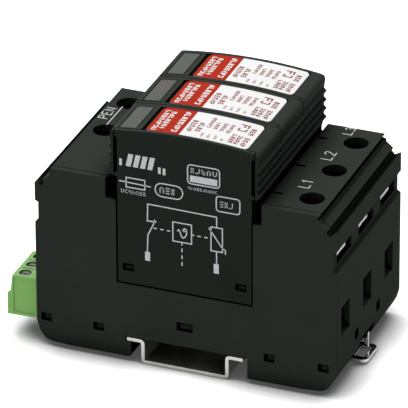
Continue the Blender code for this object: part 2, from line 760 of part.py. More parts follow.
def make_contacts(brass):
    """Three phase contacts, and one bar that joins the three earth-side sockets."""
    anvil = [(ANVIL_END, ANVIL_Z), (CONTACT_RISER, ANVIL_Z)]
    for index in range(MODULES):
        y = about(terminal_y(index), CONTACT_WIDTH)
        contact = plate(f"phase_contact_{index + 1}", socket_path(1, anvil), CONTACT_SHEET, y)
        join(contact, comb_strip("comb_arm", 1, y))
        cut(contact, shank_hole(1, terminal_y(index)))
        carry(contact, brass)
    spine_x = about(-CONTACT_RISER, CONTACT_SHEET)
    spine_y = (MODULE_Y[0] - CONTACT_WIDTH / 2, MODULE_Y[-1] + CONTACT_WIDTH / 2)
    bar = box("earth_busbar", spine_x, spine_y, (SOCKET_LINK_Z - BUSBAR_LAP, ANVIL_Z + BUSBAR_LAP))
    for index in range(MODULES):
        y = about(terminal_y(index), CONTACT_WIDTH)
        start = anvil if index else [(CONTACT_RISER, ANVIL_Z - BUSBAR_DROP)]
        join(bar, plate("socket", socket_path(-1, start), CONTACT_SHEET, y))
        if index:
            join(bar, comb_strip("comb_arm", -1, y))
            cut(bar, shank_hole(-1, terminal_y(index)))
    carry(bar, brass)


def make_terminal(tag, side, y, steel, zinc):
    """Box clamp that a captive screw draws up against the contact."""
    middle = side * TERMINAL_X
    x = about(middle, CLAMP_LENGTH)
    half = CONTACT_WIDTH / 2 + RUN + CLAMP_SHEET
    inner = half - CLAMP_SHEET
    lift = pivot(f"clamp_{tag}_lift", (middle, y, CLAMP_LOW))
    clamp = box(f"clamp_{tag}", x, (y - half, y + half), (CLAMP_LOW, CLAMP_TOP))
    cut(clamp, box("clamp_mouth", (x[0] - 1.0, x[1] + 1.0), (y - inner, y + inner),
                   (CLAMP_LOW + CLAMP_BASE, CLAMP_TOP - CLAMP_NUT)))
    cut(clamp, rod("clamp_thread", (middle, y, CLAMP_TOP), SCREW_RADIUS + THREAD_GAP, 3 * CLAMP_NUT))
    carry(clamp, steel, lift)
    turn = pivot(f"screw_{tag}_turn", (middle, y, 0))
    head_low = COMB_Z + CONTACT_SHEET / 2 + GAP
    tip = ANVIL_Z + CONTACT_SHEET / 2 + GAP
    screw = rod(f"screw_{tag}", (middle, y, head_low + SCREW_HEAD_HEIGHT / 2), SCREW_HEAD_RADIUS,
                SCREW_HEAD_HEIGHT, sides=20)
    overlap = 0.5
    shank = rod("shank", (middle, y, (tip + head_low + overlap) / 2), SCREW_RADIUS, head_low + overlap - tip)
    join(screw, shank)
    top = head_low + SCREW_HEAD_HEIGHT
    for along, across in ((1, 0), (0, 1)):
        long, wide = 1.5 * SCREW_HEAD_RADIUS, DRIVE_SLOT
        cut(screw, box("drive_slot", about(middle, long if along else wide),
                       about(y, long if across else wide), (top - DRIVE_DEPTH, top + 1.0)))
    carry(screw, zinc, turn)


def grip_points():
    """Right-hand side of a plug's upper part, from the shoulder up to the crown."""
    half = PLUG_HIGH_HALF
    shoulder = STEP_Z + SHOULDER_LIFT
    waist = half - WAIST_DEPTH
    points = [
        (half, shoulder),
        (half, shoulder + WAIST_SLOPE),
        (waist, WAIST_Z - WAIST_SLOPE),
        (waist, WAIST_Z),
    ]
    reach = GRIP_PITCH / 2 - GRIP_FLAT
    for rib in range(GRIP_RIBS):
        z = GRIP_FIRST + rib * GRIP_PITCH
        points += [(half - GRIP_GROOVE, z - reach), (half + GRIP_HEIGHT, z), (half - GRIP_GROOVE, z + reach)]
    top = crown(half)
    inner = half - CROWN_CORNER
    return points + bend((half, top - CROWN_CORNER), (half, top), (inner, crown(inner)), 3)


def plug_outline():
    low = PLUG_LOW_HALF
    right = [(low, PLUG_LOW), (low, STEP_Z + SHOULDER_LIFT - STEP_SLOPE)] + grip_points()
    inner = PLUG_HIGH_HALF - CROWN_CORNER
    return right + crown_line(inner, -inner)[1:-1] + mirrored(right)


def plug_cavity():
    """Inside of a plug: the lower box, and the wider part under the crown."""
    low = PLUG_LOW_HALF - PLUG_WALL
    high = PLUG_HIGH_HALF - WAIST_DEPTH - PLUG_WALL
    step = STEP_Z + SHOULDER_LIFT + PLUG_WALL
    right = [(low, PLUG_INSIDE), (low, step - STEP_SLOPE), (high, step)]
    return right + crown_line(high, -high, PLUG_WALL) + mirrored(right)


def cover_outline():
    """Side cover of a plug: it stops short of the grips, apart from two pairs of small tabs."""
    half = PLUG_LOW_HALF
    tab = half + GRIP_SLOT - GAP
    tab_low, tab_high, brow = GRIP_FIRST - 0.9, GRIP_FIRST + 0.1, crown(half) - 2.0
    right = [(half, PLUG_LOW), (half, tab_low - 0.2), (tab, tab_low), (tab, tab_high),
             (half, tab_high + 0.2), (half, brow - 0.2), (tab, brow)]
    return right + crown_line(tab, -tab) + mirrored(right)


def cover_pocket():
    edge = PLUG_LOW_HALF + GRIP_SLOT
    right = [(edge, PLUG_LOW - 1.0), (edge, CROWN_TOP + 5.0)]
    return right + mirrored(right)


def make_plug(index, finishes):
    """One pull-out plug with all that it holds."""
    y0 = MODULE_Y[index]
    tag = str(index + 1)
    lift = pivot(f"plug_{tag}_lift", (0, y0, PLUG_LOW))
    make_casing(tag, y0, lift, finishes["casing"])
    make_plug_cover(tag, y0, lift, finishes["casing"])
    lens = crown_line(WINDOW[0], WINDOW[1], 0.0, 4) + crown_line(WINDOW[1], WINDOW[0], PLUG_WALL, 4)
    carry(prism(f"window_{tag}", lens, about(y0, WINDOW_WIDTH)), finishes["window"], lift)
    paper = crown_line(LABEL[0], LABEL[1]) + crown_line(LABEL[1], LABEL[0], LABEL_SHEET)
    carry(prism(f"label_{tag}", paper, about(y0, LABEL_WIDTH)), finishes["label"], lift)
    make_blades(tag, y0, lift, finishes["blade"])
    block = box(f"varistor_{tag}", (-VARISTOR_HALF, VARISTOR_HALF),
                (arm_y(y0)[1] + ARM_GAP, y0 + VARISTOR_BACK), (VARISTOR_LOW, VARISTOR_HIGH))
    carry(block, finishes["varistor"], lift)
    rounding = block.modifiers.new("rounding", "BEVEL")
    rounding.width = VARISTOR_EDGE * MM
    rounding.segments = 2
    make_disconnector(tag, y0, lift, finishes)


def arm_y(y0):
    near = y0 + COVER_BACK + ARM_SETBACK
    return (near, near + ARM_SHEET)


def neck_reliefs(y0):
    """Hollows under the grips, open towards the side cover."""
    inner = PLUG_HIGH_HALF - WAIST_DEPTH - PLUG_WALL + NECK_WALL
    y = (y0 - PLUG_HALF - 1.0, y0 - PLUG_HALF + NECK_DEPTH)
    z = (STEP_Z, GRIP_FIRST - GRIP_PITCH / 2 + GRIP_FLAT - NECK_BROW)
    return [box("neck_relief", sorted((side * inner, side * (inner + 4.0))), y, z) for side in (-1, 1)]


def grip_slots(y0):
    """Deep slots between the side cover's edges and the grips."""
    inner, outer = PLUG_LOW_HALF + SLOT_WALL, PLUG_LOW_HALF + GRIP_SLOT - SLOT_STEP
    y = (y0 - PLUG_HALF - 1.0, y0 - PLUG_HALF + SLOT_DEPTH)
    z = (GRIP_FIRST - GRIP_PITCH / 2, crown(PLUG_HIGH_HALF) - SLOT_BROW)
    return [box("grip_slot", sorted((side * inner, side * outer)), y, z) for side in (-1, 1)]


def make_casing(tag, y0, lift, plastic):
    casing = prism(f"plug_casing_{tag}", plug_outline(), (y0 - PLUG_HALF, y0 + PLUG_HALF))
    pocket_back = y0 + COVER_BACK + GAP
    cut(casing, prism("cover_pocket", cover_pocket(), (y0 - PLUG_HALF - 1.0, pocket_back)))
    cut(casing, prism("plug_cavity", plug_cavity(), (pocket_back - 1.0, y0 + PLUG_HALF - PLUG_WALL)))
    cut(casing, *grip_slots(y0), *neck_reliefs(y0))
    for x in (-BLADE_X, BLADE_X):
        cut(casing, box("blade_hole", about(x, BLADE_SHEET + 2 * GAP), about(y0, BLADE_WIDTH + 2 * GAP),
                        (PLUG_LOW - 1.0, PLUG_INSIDE + 1.0)))
    cut(casing, box("window_hole", (WINDOW[0] - GAP, WINDOW[1] + GAP), about(y0, WINDOW_WIDTH + 2 * GAP),
                    (CROWN_TOP - 4.0, CROWN_TOP + 1.0)))
    bed = crown_line(LABEL[1] + GAP, LABEL[0] - GAP, LABEL_SHEET + GAP)
    bed += [(LABEL[0] - GAP, CROWN_TOP + 2.0), (LABEL[1] + GAP, CROWN_TOP + 2.0)]
    cut(casing, prism("label_bed", bed, about(y0, LABEL_WIDTH + 2 * GAP)))
    join(casing, box("signal_peg", about(peg_x(), PEG), about(y0 + PEG_SIDE, PEG),
                     (BAR_HIGH - PEG_DIP, PLUG_LOW + 0.5)))
    for number, window in enumerate(PLUG_SNAPS):
        outer = math.copysign(PLUG_LOW_HALF - PLUG_WALL / 2, window[0])
        root_x = sorted((outer, window[0] + 1.0 if outer > 0 else window[1] - 1.0))
        root = (root_x, (window[2] + 0.9, window[3] - GAP - 0.2))
        tip = y0 - PLUG_HALF + HOOK_RECESS - GAP
        join(casing, *snap_hook(f"plug_hook_{number}", window, pocket_back, tip, root))
    carry(casing, plastic, lift)


def make_plug_cover(tag, y0, lift, plastic):
    front, back = y0 - PLUG_HALF, y0 + COVER_BACK
    cover = prism(f"plug_cover_{tag}", cover_outline(), (front, back))
    for x0, x1, z0, z1 in PLUG_SNAPS:
        cut(cover, box("snap_window", (x0, x1), (front - 1.0, back + 1.0), (z0, z1)))
    pin_end = arm_y(y0)[1] + ARM_GAP / 2
    pin = rod("arm_pin", (-BLADE_X, (back - 0.5 + pin_end) / 2, ARM_PIVOT_Z), PIN_RADIUS,
              pin_end - back + 0.5, axis="Y", sides=12)
    join(cover, pin)
    carry(cover, plastic, lift)


def make_blades(tag, y0, lift, metal):
    for side, word in ((-1, "earth"), (1, "phase")):
        blade = box(f"{word}_blade_{tag}", about(side * BLADE_X, BLADE_SHEET), about(y0, BLADE_WIDTH),
                    (BLADE_LOW, VARISTOR_LOW - GAP))
        carry(blade, metal, lift)
        tip = blade.modifiers.new("tip", "BEVEL")
        tip.width = BLADE_TIP * MM
        tip.segments = 1


def make_disconnector(tag, y0, lift, finishes):
    """Contact arm that swings off its solder joint, and the coloured slider that it pushes."""
    root = (-BLADE_X, ARM_PIVOT_Z)
    run = Vector(ARM_TIP) - Vector(root)
    lean = math.degrees(math.atan2(run.y, run.x))
    half = ARM_WIDTH / 2
    outline = arc(root, half + 0.6, lean + 90, lean + 270, 8) + arc(ARM_TIP, half, lean - 90, lean + 90, 6)
    swing = pivot(f"arm_{tag}_swing", (root[0], arm_y(y0)[0], root[1]), lift)
    arm = prism(f"contact_arm_{tag}", outline, arm_y(y0))
    hole_y = sum(arm_y(y0)) / 2
    hole = rod("arm_hole", (root[0], hole_y, root[1]), PIN_RADIUS + GAP, 3 * ARM_SHEET, axis="Y", sides=12)
    cut(arm, hole)
    carry(arm, finishes["blade"], swing)
    low = VARISTOR_HIGH + GAP
    slide = pivot(f"slider_{tag}_slide", (SLIDER[0], y0, low), lift)
    stem_y = (y0 + COVER_BACK + STEM_SETBACK, arm_y(y0)[0] - ARM_GAP)
    flag = box(f"status_slider_{tag}", SLIDER, (stem_y[0], y0 + WINDOW_WIDTH / 2 - FLAG_INSET),
               (low, low + SLIDER_SHEET))
    stem_top = low + SLIDER_SHEET / 2
    stem_x = (SLIDER[1] - SLIDER_STEM, SLIDER[1] - 0.1)
    join(flag, box("stem", stem_x, stem_y, (ARM_TIP[1] - STEM_REACH, stem_top)))
    carry(flag, finishes["slider"], slide)


def foot_corner(side, half, z):
    """What the round corner of the foot's eye leaves off a square one."""
    r, x, y = FOOT_CORNER, FOOT_REACH, side * half
    turn = arc((x - r, y - side * r), r, 0, side * 90, 5)
    return slab("foot_corner", turn + [(x - r, y + side), (x + 1.0, y + side), (x + 1.0, y - side * r)], z)


def make_foot(metal, spring_steel):
    """Bent metal foot that grips the rail, with an eye for a screwdriver, and its spring."""
    half = FOOT_WIDTH / 2
    drop = FOOT_STOP[0] - FOOT_RAMP
    path = [
        (FOOT_TONGUE_TIP, FOOT_TONGUE_Z),
        (FOOT_JOG, FOOT_TONGUE_Z),
        (FOOT_JOG, FOOT_PLATE_Z),
        (drop, FOOT_PLATE_Z),
        (drop + FOOT_RAMP_LENGTH, FOOT_LOW),
        (FOOT_REACH, FOOT_LOW),
    ]
    slide = pivot("foot_slide", (FOOT_JOG, 0, FOOT_PLATE_Z))
    foot = plate("foot_latch", path, FOOT_SHEET, (-half, half))
    eye_z = (FOOT_LOW - 2.0, FOOT_LOW + 2.0)
    cut(foot, box("eye", FOOT_EYE, about(0, FOOT_EYE_WIDTH), eye_z))
    for side in (-1, 1):
        cut(foot, foot_corner(side, half, eye_z))
    shoulder = (HALF_HEIGHT - SHOULDER_INSET, HALF_HEIGHT - SHOULDER_INSET + SHOULDER_LENGTH)
    join(foot, box("shoulders", shoulder, about(0, 2 * SHOULDER_REACH), about(FOOT_LOW, FOOT_SHEET)))
    tab_low = FOOT_PLATE_Z + FOOT_SHEET / 2
    join(foot, box("spring_tab", FOOT_TAB, about(0, FOOT_TAB_WIDTH), (tab_low - 0.3, FOOT_TAB_TOP)))
    lug = about(FOOT_EYE[0] + LUG_SETBACK, FOOT_SHEET)
    join(foot, box("lug", lug, about(FOOT_EYE_WIDTH / 2 + 0.9, FOOT_SHEET),
                   (FOOT_LOW, FOOT_LOW + LUG_HEIGHT)))
    carry(foot, metal, slide)
    start = FOOT_TAB[1] + GAP + SPRING_WIRE / 2
    length = FOOT_STOP[0] - GAP - SPRING_WIRE / 2 - start
    middle = FOOT_TAB_TOP - SPRING_RADIUS - SPRING_WIRE / 2
    points = []
    for step in range(SPRING_TURNS * SPRING_STEPS + 1):
        turn = 2 * math.pi * step / SPRING_STEPS
        along = start + length * step / (SPRING_TURNS * SPRING_STEPS)
        points.append((along, SPRING_RADIUS * math.cos(turn), middle + SPRING_RADIUS * math.sin(turn)))
    curve = poly_curve("foot_spring", points, False)
    curve.dimensions = "3D"
    curve.bevel_depth = SPRING_WIRE / 2 * MM
    curve.bevel_resolution = 1
    curve.use_fill_caps = True
    coil = bpy.data.objects.new("foot_spring_path", curve)
    bpy.data.collections[PARTS].objects.link(coil)
    carry(mesh_of("foot_spring", coil), spring_steel)


def signal_y(pole):
    """Middle of one pole of the signalling connector."""
    return NEAR + CONNECTOR_SIDE + (pole + 0.5) * POLE_PITCH


def connector_y():
    return (NEAR + CONNECTOR_SIDE, NEAR + CONNECTOR_SIDE + POLES * POLE_PITCH)


def peg_x():
    return BAR[1] + GAP + PEG / 2


def make_signalling(finishes):
    """Board, microswitch and header inside the housing, and the bar that works the switch."""
    header_y = (nose_y()[0] - GAP - HEADER_WALL, nose_y()[1] + GAP + HEADER_WALL)
    cavity_side = HALF_HEIGHT - WALL - GAP
    header = box("signal_header", (-cavity_side, HEADER_END), header_y,
                 (NOSE_LOW - GAP - HEADER_WALL, NOSE_HIGH + GAP + HEADER_WALL))
    cut(header, box("header_mouth", (-cavity_side - 1.0, HEADER_END - HEADER_BACK),
                    (nose_y()[0] - GAP, nose_y()[1] + GAP), (NOSE_LOW - GAP, NOSE_HIGH + GAP)))
    for pole in range(POLES):
        join(header, box("header_pin", (NOSE_END - PIN_LENGTH, HEADER_END - 1.0),
                         about(signal_y(pole), PIN_SIDE), about(pin_z(), PIN_SIDE)))
    carry(header, finishes["header"])
    board_x = (HEADER_END + GAP, HEADER_END + GAP + BOARD_SHEET)
    carry(box("signal_board", board_x, header_y, (CAVITY_FLOOR + GAP, BOARD_HIGH)), finishes["board"])
    switch_y = about(sum(header_y) / 2, SWITCH_WIDTH)
    switch_end = BAR[0] - PLUNGER_REACH
    switch = box("microswitch", (board_x[1] + GAP, switch_end), switch_y,
                 (BAR_LOW - SWITCH_BELOW, BAR_HIGH + SWITCH_ABOVE))
    plunger = box("plunger", (switch_end - PLUNGER_SHOULDER, BAR[0] - BAR_TRAVEL - RUN),
                  about(sum(switch_y) / 2, PLUNGER_WIDTH), about((BAR_LOW + BAR_HIGH) / 2, PLUNGER_HEIGHT))
    join(switch, plunger)
    carry(switch, finishes["header"])
    slide = pivot("signal_bar_slide", (BAR[0], 0, BAR_LOW))
    bar = box("signal_bar", BAR, (switch_y[0], MODULE_Y[-1] + PEG_SIDE + PEG / 2), (BAR_LOW, BAR_HIGH))
    carry(bar, finishes["bar"], slide)
    make_connector(finishes)


def nose_y():
    return (connector_y()[0] + 1.8, connector_y()[1] - 1.0)


def pin_z():
    return (NOSE_LOW + NOSE_HIGH) / 2


def make_connector(finishes):
    """Pluggable three-pole connector with a small box clamp for each wire."""
    face, low, high = NOSE_FACE, CONNECTOR_LOW, CONNECTOR_HIGH
    left = face - CONNECTOR_LENGTH + GAP
    outline = [
        (face, low + 0.2),
        (face, high),
        (left + 1.6, high - 0.2),
        (left + 1.0, low + 7.6),
        (left, low + 6.8),
        (left, low),
    ]
    slide = pivot("connector_slide", (face, sum(connector_y()) / 2, pin_z()))
    body = prism("signal_connector", outline, connector_y())
    join(body, box("nose", (face - 0.5, NOSE_END), nose_y(), (NOSE_LOW, NOSE_HIGH)))
    floor = low + CONNECTOR_WALL
    roof = floor + SIGNAL_CHAMBER_HEIGHT
    near = connector_y()[0]
    cut(body, box("panel", (left + 1.9, face - 0.8), (near - 1.0, near + PANEL_DEPTH),
                  (low + 1.0, high - 1.0)))
    for pole in range(1, POLES):
        cut(body, box("pole_groove", (left + 2.6, face - 0.8), about(near + pole * POLE_PITCH, POLE_GROOVE),
                      (high - POLE_GROOVE, high + 1.0)))
    for pole in range(POLES):
        middle = signal_y(pole)
        cut(body, box("pin_hole", (NOSE_END - PIN_LENGTH - 2 * GAP, NOSE_END + 1.0),
                      about(middle, PIN_SIDE + 2 * GAP), about(pin_z(), PIN_SIDE + 2 * GAP)))
        cut(body, box("wire_chamber", (left - 1.0, SIGNAL_SCREW_X + SIGNAL_CLAMP_LENGTH / 2 + RUN),
                      about(middle, SIGNAL_CHAMBER), (floor, roof)))
        cut(body, rod("screw_shaft", (SIGNAL_SCREW_X, middle, high), SIGNAL_HEAD_RADIUS + RUN,
                      2 * (high - roof) + 1.0))
    carry(body, finishes["connector"], slide)
    for pole in range(POLES):
        make_signal_clamp(pole, floor, roof, high, slide, finishes)


def make_signal_clamp(pole, floor, roof, high, slide, finishes):
    """Box clamp and screw of one pole."""
    tag, y = str(pole + 1), signal_y(pole)
    x = about(SIGNAL_SCREW_X, SIGNAL_CLAMP_LENGTH)
    base = floor + GAP
    top = roof - GAP - SIGNAL_LIFT
    lift = pivot(f"signal_clamp_{tag}_lift", (SIGNAL_SCREW_X, y, base), slide)
    clamp = box(f"signal_clamp_{tag}", x, about(y, SIGNAL_CLAMP_WIDTH), (base, top))
    cut(clamp, box("mouth", (x[0] - 1.0, x[1] + 1.0), about(y, SIGNAL_CLAMP_MOUTH), (base + 0.6, top - 0.7)))
    cut(clamp, rod("thread", (SIGNAL_SCREW_X, y, top), SIGNAL_SCREW_RADIUS + 0.2, 2.0, sides=12))
    carry(clamp, finishes["steel"], lift)
    turn = pivot(f"signal_screw_{tag}_turn", (SIGNAL_SCREW_X, y, base), slide)
    head_low, head_high = roof + 2.0, high - SIGNAL_HEAD_DROP
    screw = rod(f"signal_screw_{tag}", (SIGNAL_SCREW_X, y, (head_low + head_high) / 2), SIGNAL_HEAD_RADIUS,
                head_high - head_low, sides=12)
    tip = base + 2.3
    join(screw, rod("shank", (SIGNAL_SCREW_X, y, (tip + head_low + 0.4) / 2), SIGNAL_SCREW_RADIUS,
                    head_low + 0.4 - tip, sides=12))
    cut(screw, box("slot", about(SIGNAL_SCREW_X, 4.0), about(y, 0.5), (head_high - 0.7, head_high + 1.0)))
    carry(screw, finishes["zinc"], turn)


def main():
    fresh_scene()
    finishes = {
        "housing": finish("black_plastic", (0.020, 0.022, 0.021), 0.50),
        "casing": finish("black_casing", (0.016, 0.018, 0.018), 0.45),
        "partition": finish("grey_plastic", (0.10, 0.10, 0.10), 0.55),
        "rail": finish("zinc_rail", (0.70, 0.70, 0.67), 0.35, 1.0),
        "foot": finish("nickel_sheet", (0.72, 0.72, 0.70), 0.28, 1.0),
        "steel": finish("zinc_steel", (0.62, 0.62, 0.60), 0.35, 1.0),
        "zinc": finish("zinc_screw", (0.55, 0.55, 0.53), 0.32, 1.0),
        "brass": finish("tinned_copper", (0.76, 0.72, 0.64), 0.30, 1.0),
        "blade": finish("tinned_blade", (0.78, 0.76, 0.72), 0.28, 1.0),
        "window": finish("smoked_window", (0.14, 0.15, 0.12), 0.15),
        "label": finish("label", (0.85, 0.85, 0.84), 0.45),
        "varistor": finish("varistor_coat", (0.05, 0.12, 0.30), 0.40),
        "slider": finish("green_slider", (0.05, 0.40, 0.10), 0.45),
        "header": finish("dark_header", (0.03, 0.03, 0.03), 0.50),
        "board": finish("green_board", (0.03, 0.18, 0.08), 0.45),
        "bar": finish("white_bar", (0.75, 0.75, 0.72), 0.50),
        "connector": finish("green_connector", (0.20, 0.43, 0.15), 0.45),
    }
    make_rail(finishes["rail"])
    make_base(finishes["housing"])
    make_cover(finishes["housing"])
    make_partitions(finishes["partition"])
    make_contacts(finishes["brass"])
    for index in range(MODULES):
        make_terminal(f"phase_{index + 1}", 1, terminal_y(index), finishes["steel"], finishes["zinc"])
        if index:
            make_terminal(f"earth_{index}", -1, terminal_y(index), finishes["steel"], finishes["zinc"])
        make_plug(index, finishes)
    make_foot(finishes["foot"], finishes["steel"])
    make_signalling(finishes)


main()
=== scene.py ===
# %% [markdown]
# # A plug-in surge arrester on its mounting rail
#
# The device is built as CAD first: a black housing three modules wide, three pull-out
# plugs, a green signal connector, a metal foot and a piece of rail. This lesson dresses
# that model. It gives each part its plastic, metal or printed surface, adds the print
# that CAD leaves out, and lights the whole like a product photograph.
#
# Sizes in this script are written in millimetres and turned into metres where a mesh
# is made. X runs along the height of the device, Y along the rail, Z away from the wall.

# %% Load the model
import json
import math

import bmesh
import bpy
from mathutils import Matrix, Vector


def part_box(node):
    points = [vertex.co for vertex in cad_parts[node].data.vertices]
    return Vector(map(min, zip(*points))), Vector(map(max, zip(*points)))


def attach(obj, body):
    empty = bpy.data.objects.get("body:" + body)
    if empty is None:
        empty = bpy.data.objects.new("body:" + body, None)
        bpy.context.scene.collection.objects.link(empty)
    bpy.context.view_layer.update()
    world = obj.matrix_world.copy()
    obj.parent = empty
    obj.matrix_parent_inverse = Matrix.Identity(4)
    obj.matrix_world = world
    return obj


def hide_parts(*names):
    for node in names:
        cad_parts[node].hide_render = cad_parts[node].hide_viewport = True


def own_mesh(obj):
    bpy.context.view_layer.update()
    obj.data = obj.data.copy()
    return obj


MM = 0.001

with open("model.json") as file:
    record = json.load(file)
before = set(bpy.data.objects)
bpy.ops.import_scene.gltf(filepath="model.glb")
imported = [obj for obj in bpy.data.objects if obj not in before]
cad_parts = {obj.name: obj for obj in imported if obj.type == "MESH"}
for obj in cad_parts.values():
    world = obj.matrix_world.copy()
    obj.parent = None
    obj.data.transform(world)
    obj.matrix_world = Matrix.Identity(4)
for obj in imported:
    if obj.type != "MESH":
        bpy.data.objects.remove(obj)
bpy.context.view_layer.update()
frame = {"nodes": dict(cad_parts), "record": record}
nodes = frame["nodes"]
scene = bpy.context.scene
print("CAD nodes:", len(nodes))

# %% [markdown]
# ## Camera
#
# The photograph was taken from far away with a long lens, so its edges run almost
# parallel. The angles, the place and the lens were found by fitting the corners of the
# housing. The view has no lens shift, and its small roll is kept.

# %% Camera
AZIMUTH = math.radians(21.407)
ELEVATION = math.radians(27.938)
ROLL = math.radians(-0.216)
CAMERA_PLACE = Vector((0.54526, -1.40224, 0.83798))
SENSOR_WIDTH = 36.0
LENS = 532.4
NEAREST, FARTHEST = 0.1, 20.0

back = Vector((
    math.sin(AZIMUTH) * math.cos(ELEVATION),
    -math.cos(AZIMUTH) * math.cos(ELEVATION),
    math.sin(ELEVATION),
))
level_right = Vector((math.cos(AZIMUTH), math.sin(AZIMUTH), 0.0))
level_up = back.cross(level_right)
right = math.cos(ROLL) * level_right + math.sin(ROLL) * level_up
up = -math.sin(ROLL) * level_right + math.cos(ROLL) * level_up

lens = bpy.data.cameras.new("camera")
lens.sensor_width = SENSOR_WIDTH
lens.lens = LENS
lens.clip_start = NEAREST
lens.clip_end = FARTHEST
camera = bpy.data.objects.new("camera", lens)
turn = Matrix((right, up, back)).transposed().to_4x4()
camera.matrix_world = Matrix.Translation(CAMERA_PLACE) @ turn
scene.collection.objects.link(camera)
bpy.context.scene.camera = camera
print("Camera distance in m:", round(CAMERA_PLACE.length, 2))

# %% [markdown]
# ## Small node helpers
#
# A material is a tree of nodes. Writing each node and link out would take pages, so a few
# helpers keep the trees short. The first ones start a material, add a node with its
# fields set, and connect the ends of the tree to the shader. Each finished material is
# kept under its name in one table.

# %% Materials and nodes
finishes = {}


def new_material(name):
    """Empty material with its output and Principled shader, kept in the table."""
    mat = bpy.data.materials.new(name)
    mat.use_nodes = True
    mat.node_tree.nodes.clear()
    out = mat.node_tree.nodes.new("ShaderNodeOutputMaterial")
    shader = mat.node_tree.nodes.new("ShaderNodeBsdfPrincipled")
    mat.node_tree.links.new(shader.outputs["BSDF"], out.inputs["Surface"])
    finishes[name] = mat
    return mat, shader


def add(mat, kind, inputs=None, **fields):
    """Adds a node. Inputs are values or sockets to link, by name or number."""
    node = mat.node_tree.nodes.new(kind)
    for key, value in fields.items():
        setattr(node, key, value)
    for key, value in (inputs or {}).items():
        if isinstance(value, bpy.types.NodeSocket):
            mat.node_tree.links.new(value, node.inputs[key])
        else:
            node.inputs[key].default_value = value
    return node


def connect(mat, shader, sockets, plain=None):
    """Sets the shader's plain values by name, then links its sockets by name."""
    for name, value in (plain or {}).items():
        shader.inputs[name].default_value = value
    for name, socket in sockets.items():
        mat.node_tree.links.new(socket, shader.inputs[name])


# %% [markdown]
# The rest do arithmetic, noise, colour and bump. All patterns use object coordinates.
# They are metres here, so a noise scale of 1000 gives features about a millimetre wide.
# A noise node seldom leaves the middle of its range, so one helper spreads that middle
# over the values that are wanted.

# %% Arithmetic, noise and colour
NOISE_RANGE = (0.3, 0.7)


def object_place(mat):
    return add(mat, "ShaderNodeTexCoord").outputs["Object"]


def maths(mat, operation, first, second):
    return add(mat, "ShaderNodeMath", {0: first, 1: second}, operation=operation).outputs[0]


def noise(mat, place, scale, detail=3.0, rough=0.6):
    return add(mat, "ShaderNodeTexNoise", {
        "Vector": place, "Scale": scale, "Detail": detail, "Roughness": rough,
    }).outputs["Fac"]


def remap(mat, value, low, high, to_low=0.0, to_high=1.0):
    return add(mat, "ShaderNodeMapRange", {
        "Value": value, "From Min": low, "From Max": high, "To Min": to_low, "To Max": to_high,
    }).outputs["Result"]


def spread(mat, cloud, to_low=0.0, to_high=1.0):
    """Noise, spread from its usual range to the wanted one."""
    return remap(mat, cloud, *NOISE_RANGE, to_low, to_high)


def rgba(colour):
    """A colour with its alpha, as a socket takes it. A socket stays as it is."""
    return colour if isinstance(colour, bpy.types.NodeSocket) else (*colour, 1.0)


def blend_colours(mat, factor, first, second):
    """Mix of two colours, each a tuple or a socket."""
    inputs = {0: factor, 6: rgba(first), 7: rgba(second)}
    return add(mat, "ShaderNodeMix", inputs, data_type="RGBA").outputs[2]


def shade(colour, factor):
    return tuple(min(1.0, part * factor) for part in colour)


def bump(mat, height, strength, depth, normal=None):
    """Normal that shows a height map of a depth in mm, on top of another normal."""
    inputs = {"Strength": strength, "Distance": depth * MM, "Height": height}
    if normal is not None:
        inputs["Normal"] = normal
    return add(mat, "ShaderNodeBump", inputs).outputs["Normal"]


# %% [markdown]
# ## Edges, hollows and upward faces
#
# The Bevel node gives the normal that a slightly rounded edge would have. Where it differs from the
# true normal, there is an edge. The same node rounds the edges in the light, and its difference
# tells the material where handling has polished it and where the edge is painted lighter, partly as
# rubbing from handling and partly as a painted highlight. A real bevel on every edge would look the
# same and take many times the faces.

# %% Masks for edges
BEVEL_SAMPLES = 4
EDGE_RANGE = (0.995, 0.86)
PATCH_SCALE = 350.0
PATCH_RANGE = (0.35, 0.7)
PATCH_LEAST = 0.25


def rounded_normal(mat, radius):
    node = add(mat, "ShaderNodeBevel", {"Radius": radius * MM}, samples=BEVEL_SAMPLES)
    return node.outputs["Normal"]


def edge_mask(mat, normal, place):
    """1 on edges and 0 on flat ground, broken up by a coarse noise."""
    flat = add(mat, "ShaderNodeNewGeometry").outputs["Normal"]
    same = add(mat, "ShaderNodeVectorMath", {0: normal, 1: flat}, operation="DOT_PRODUCT")
    edge = remap(mat, same.outputs["Value"], *EDGE_RANGE)
    coarse = noise(mat, place, PATCH_SCALE, rough=0.5)
    return maths(mat, "MULTIPLY", edge, remap(mat, coarse, *PATCH_RANGE, PATCH_LEAST))


edge_turns = [round(math.degrees(math.acos(same)), 1) for same in EDGE_RANGE]
print("An edge starts and is full at degrees of turn:", edge_turns)

# %% [markdown]
# Two more masks read the shape. Ambient occlusion finds slots and holes, which look black on the
# real housing; there the material paints shade, darkening the colour and the sheen. The height of
# the normal finds faces that look up, where the plastics paint a stronger sheen than on the walls,
# and where the rail's painted shade may fall.

# %% Masks for hollows and upward faces
HOLLOW_SAMPLES = 6
OPEN_RANGE = (0.15, 0.75)
UPWARD_RANGE = (0.3, 0.9)


def hollow_shade_mask(mat, reach, limits=OPEN_RANGE, own=False):
    """1 on open ground, falling to 0 in slots and pockets narrower than the reach, and so sets
    where shade is painted.

    With own, only the walls of the same piece count."""
    node = add(mat, "ShaderNodeAmbientOcclusion", {"Distance": reach * MM},
               samples=HOLLOW_SAMPLES, only_local=own)
    return remap(mat, node.outputs["AO"], *limits)


def upward_mask(mat):
    """1 on faces that look up and 0 on walls; plastics paint their sheen stronger on these faces.
    """
    flat = add(mat, "ShaderNodeNewGeometry").outputs["Normal"]
    height = add(mat, "ShaderNodeSeparateXYZ", {"Vector": flat}).outputs["Z"]
    return remap(mat, height, *UPWARD_RANGE)


upward_turns = [round(math.degrees(math.acos(height)), 1) for height in UPWARD_RANGE]
print("A face starts and ends to look up at degrees from level:", upward_turns)
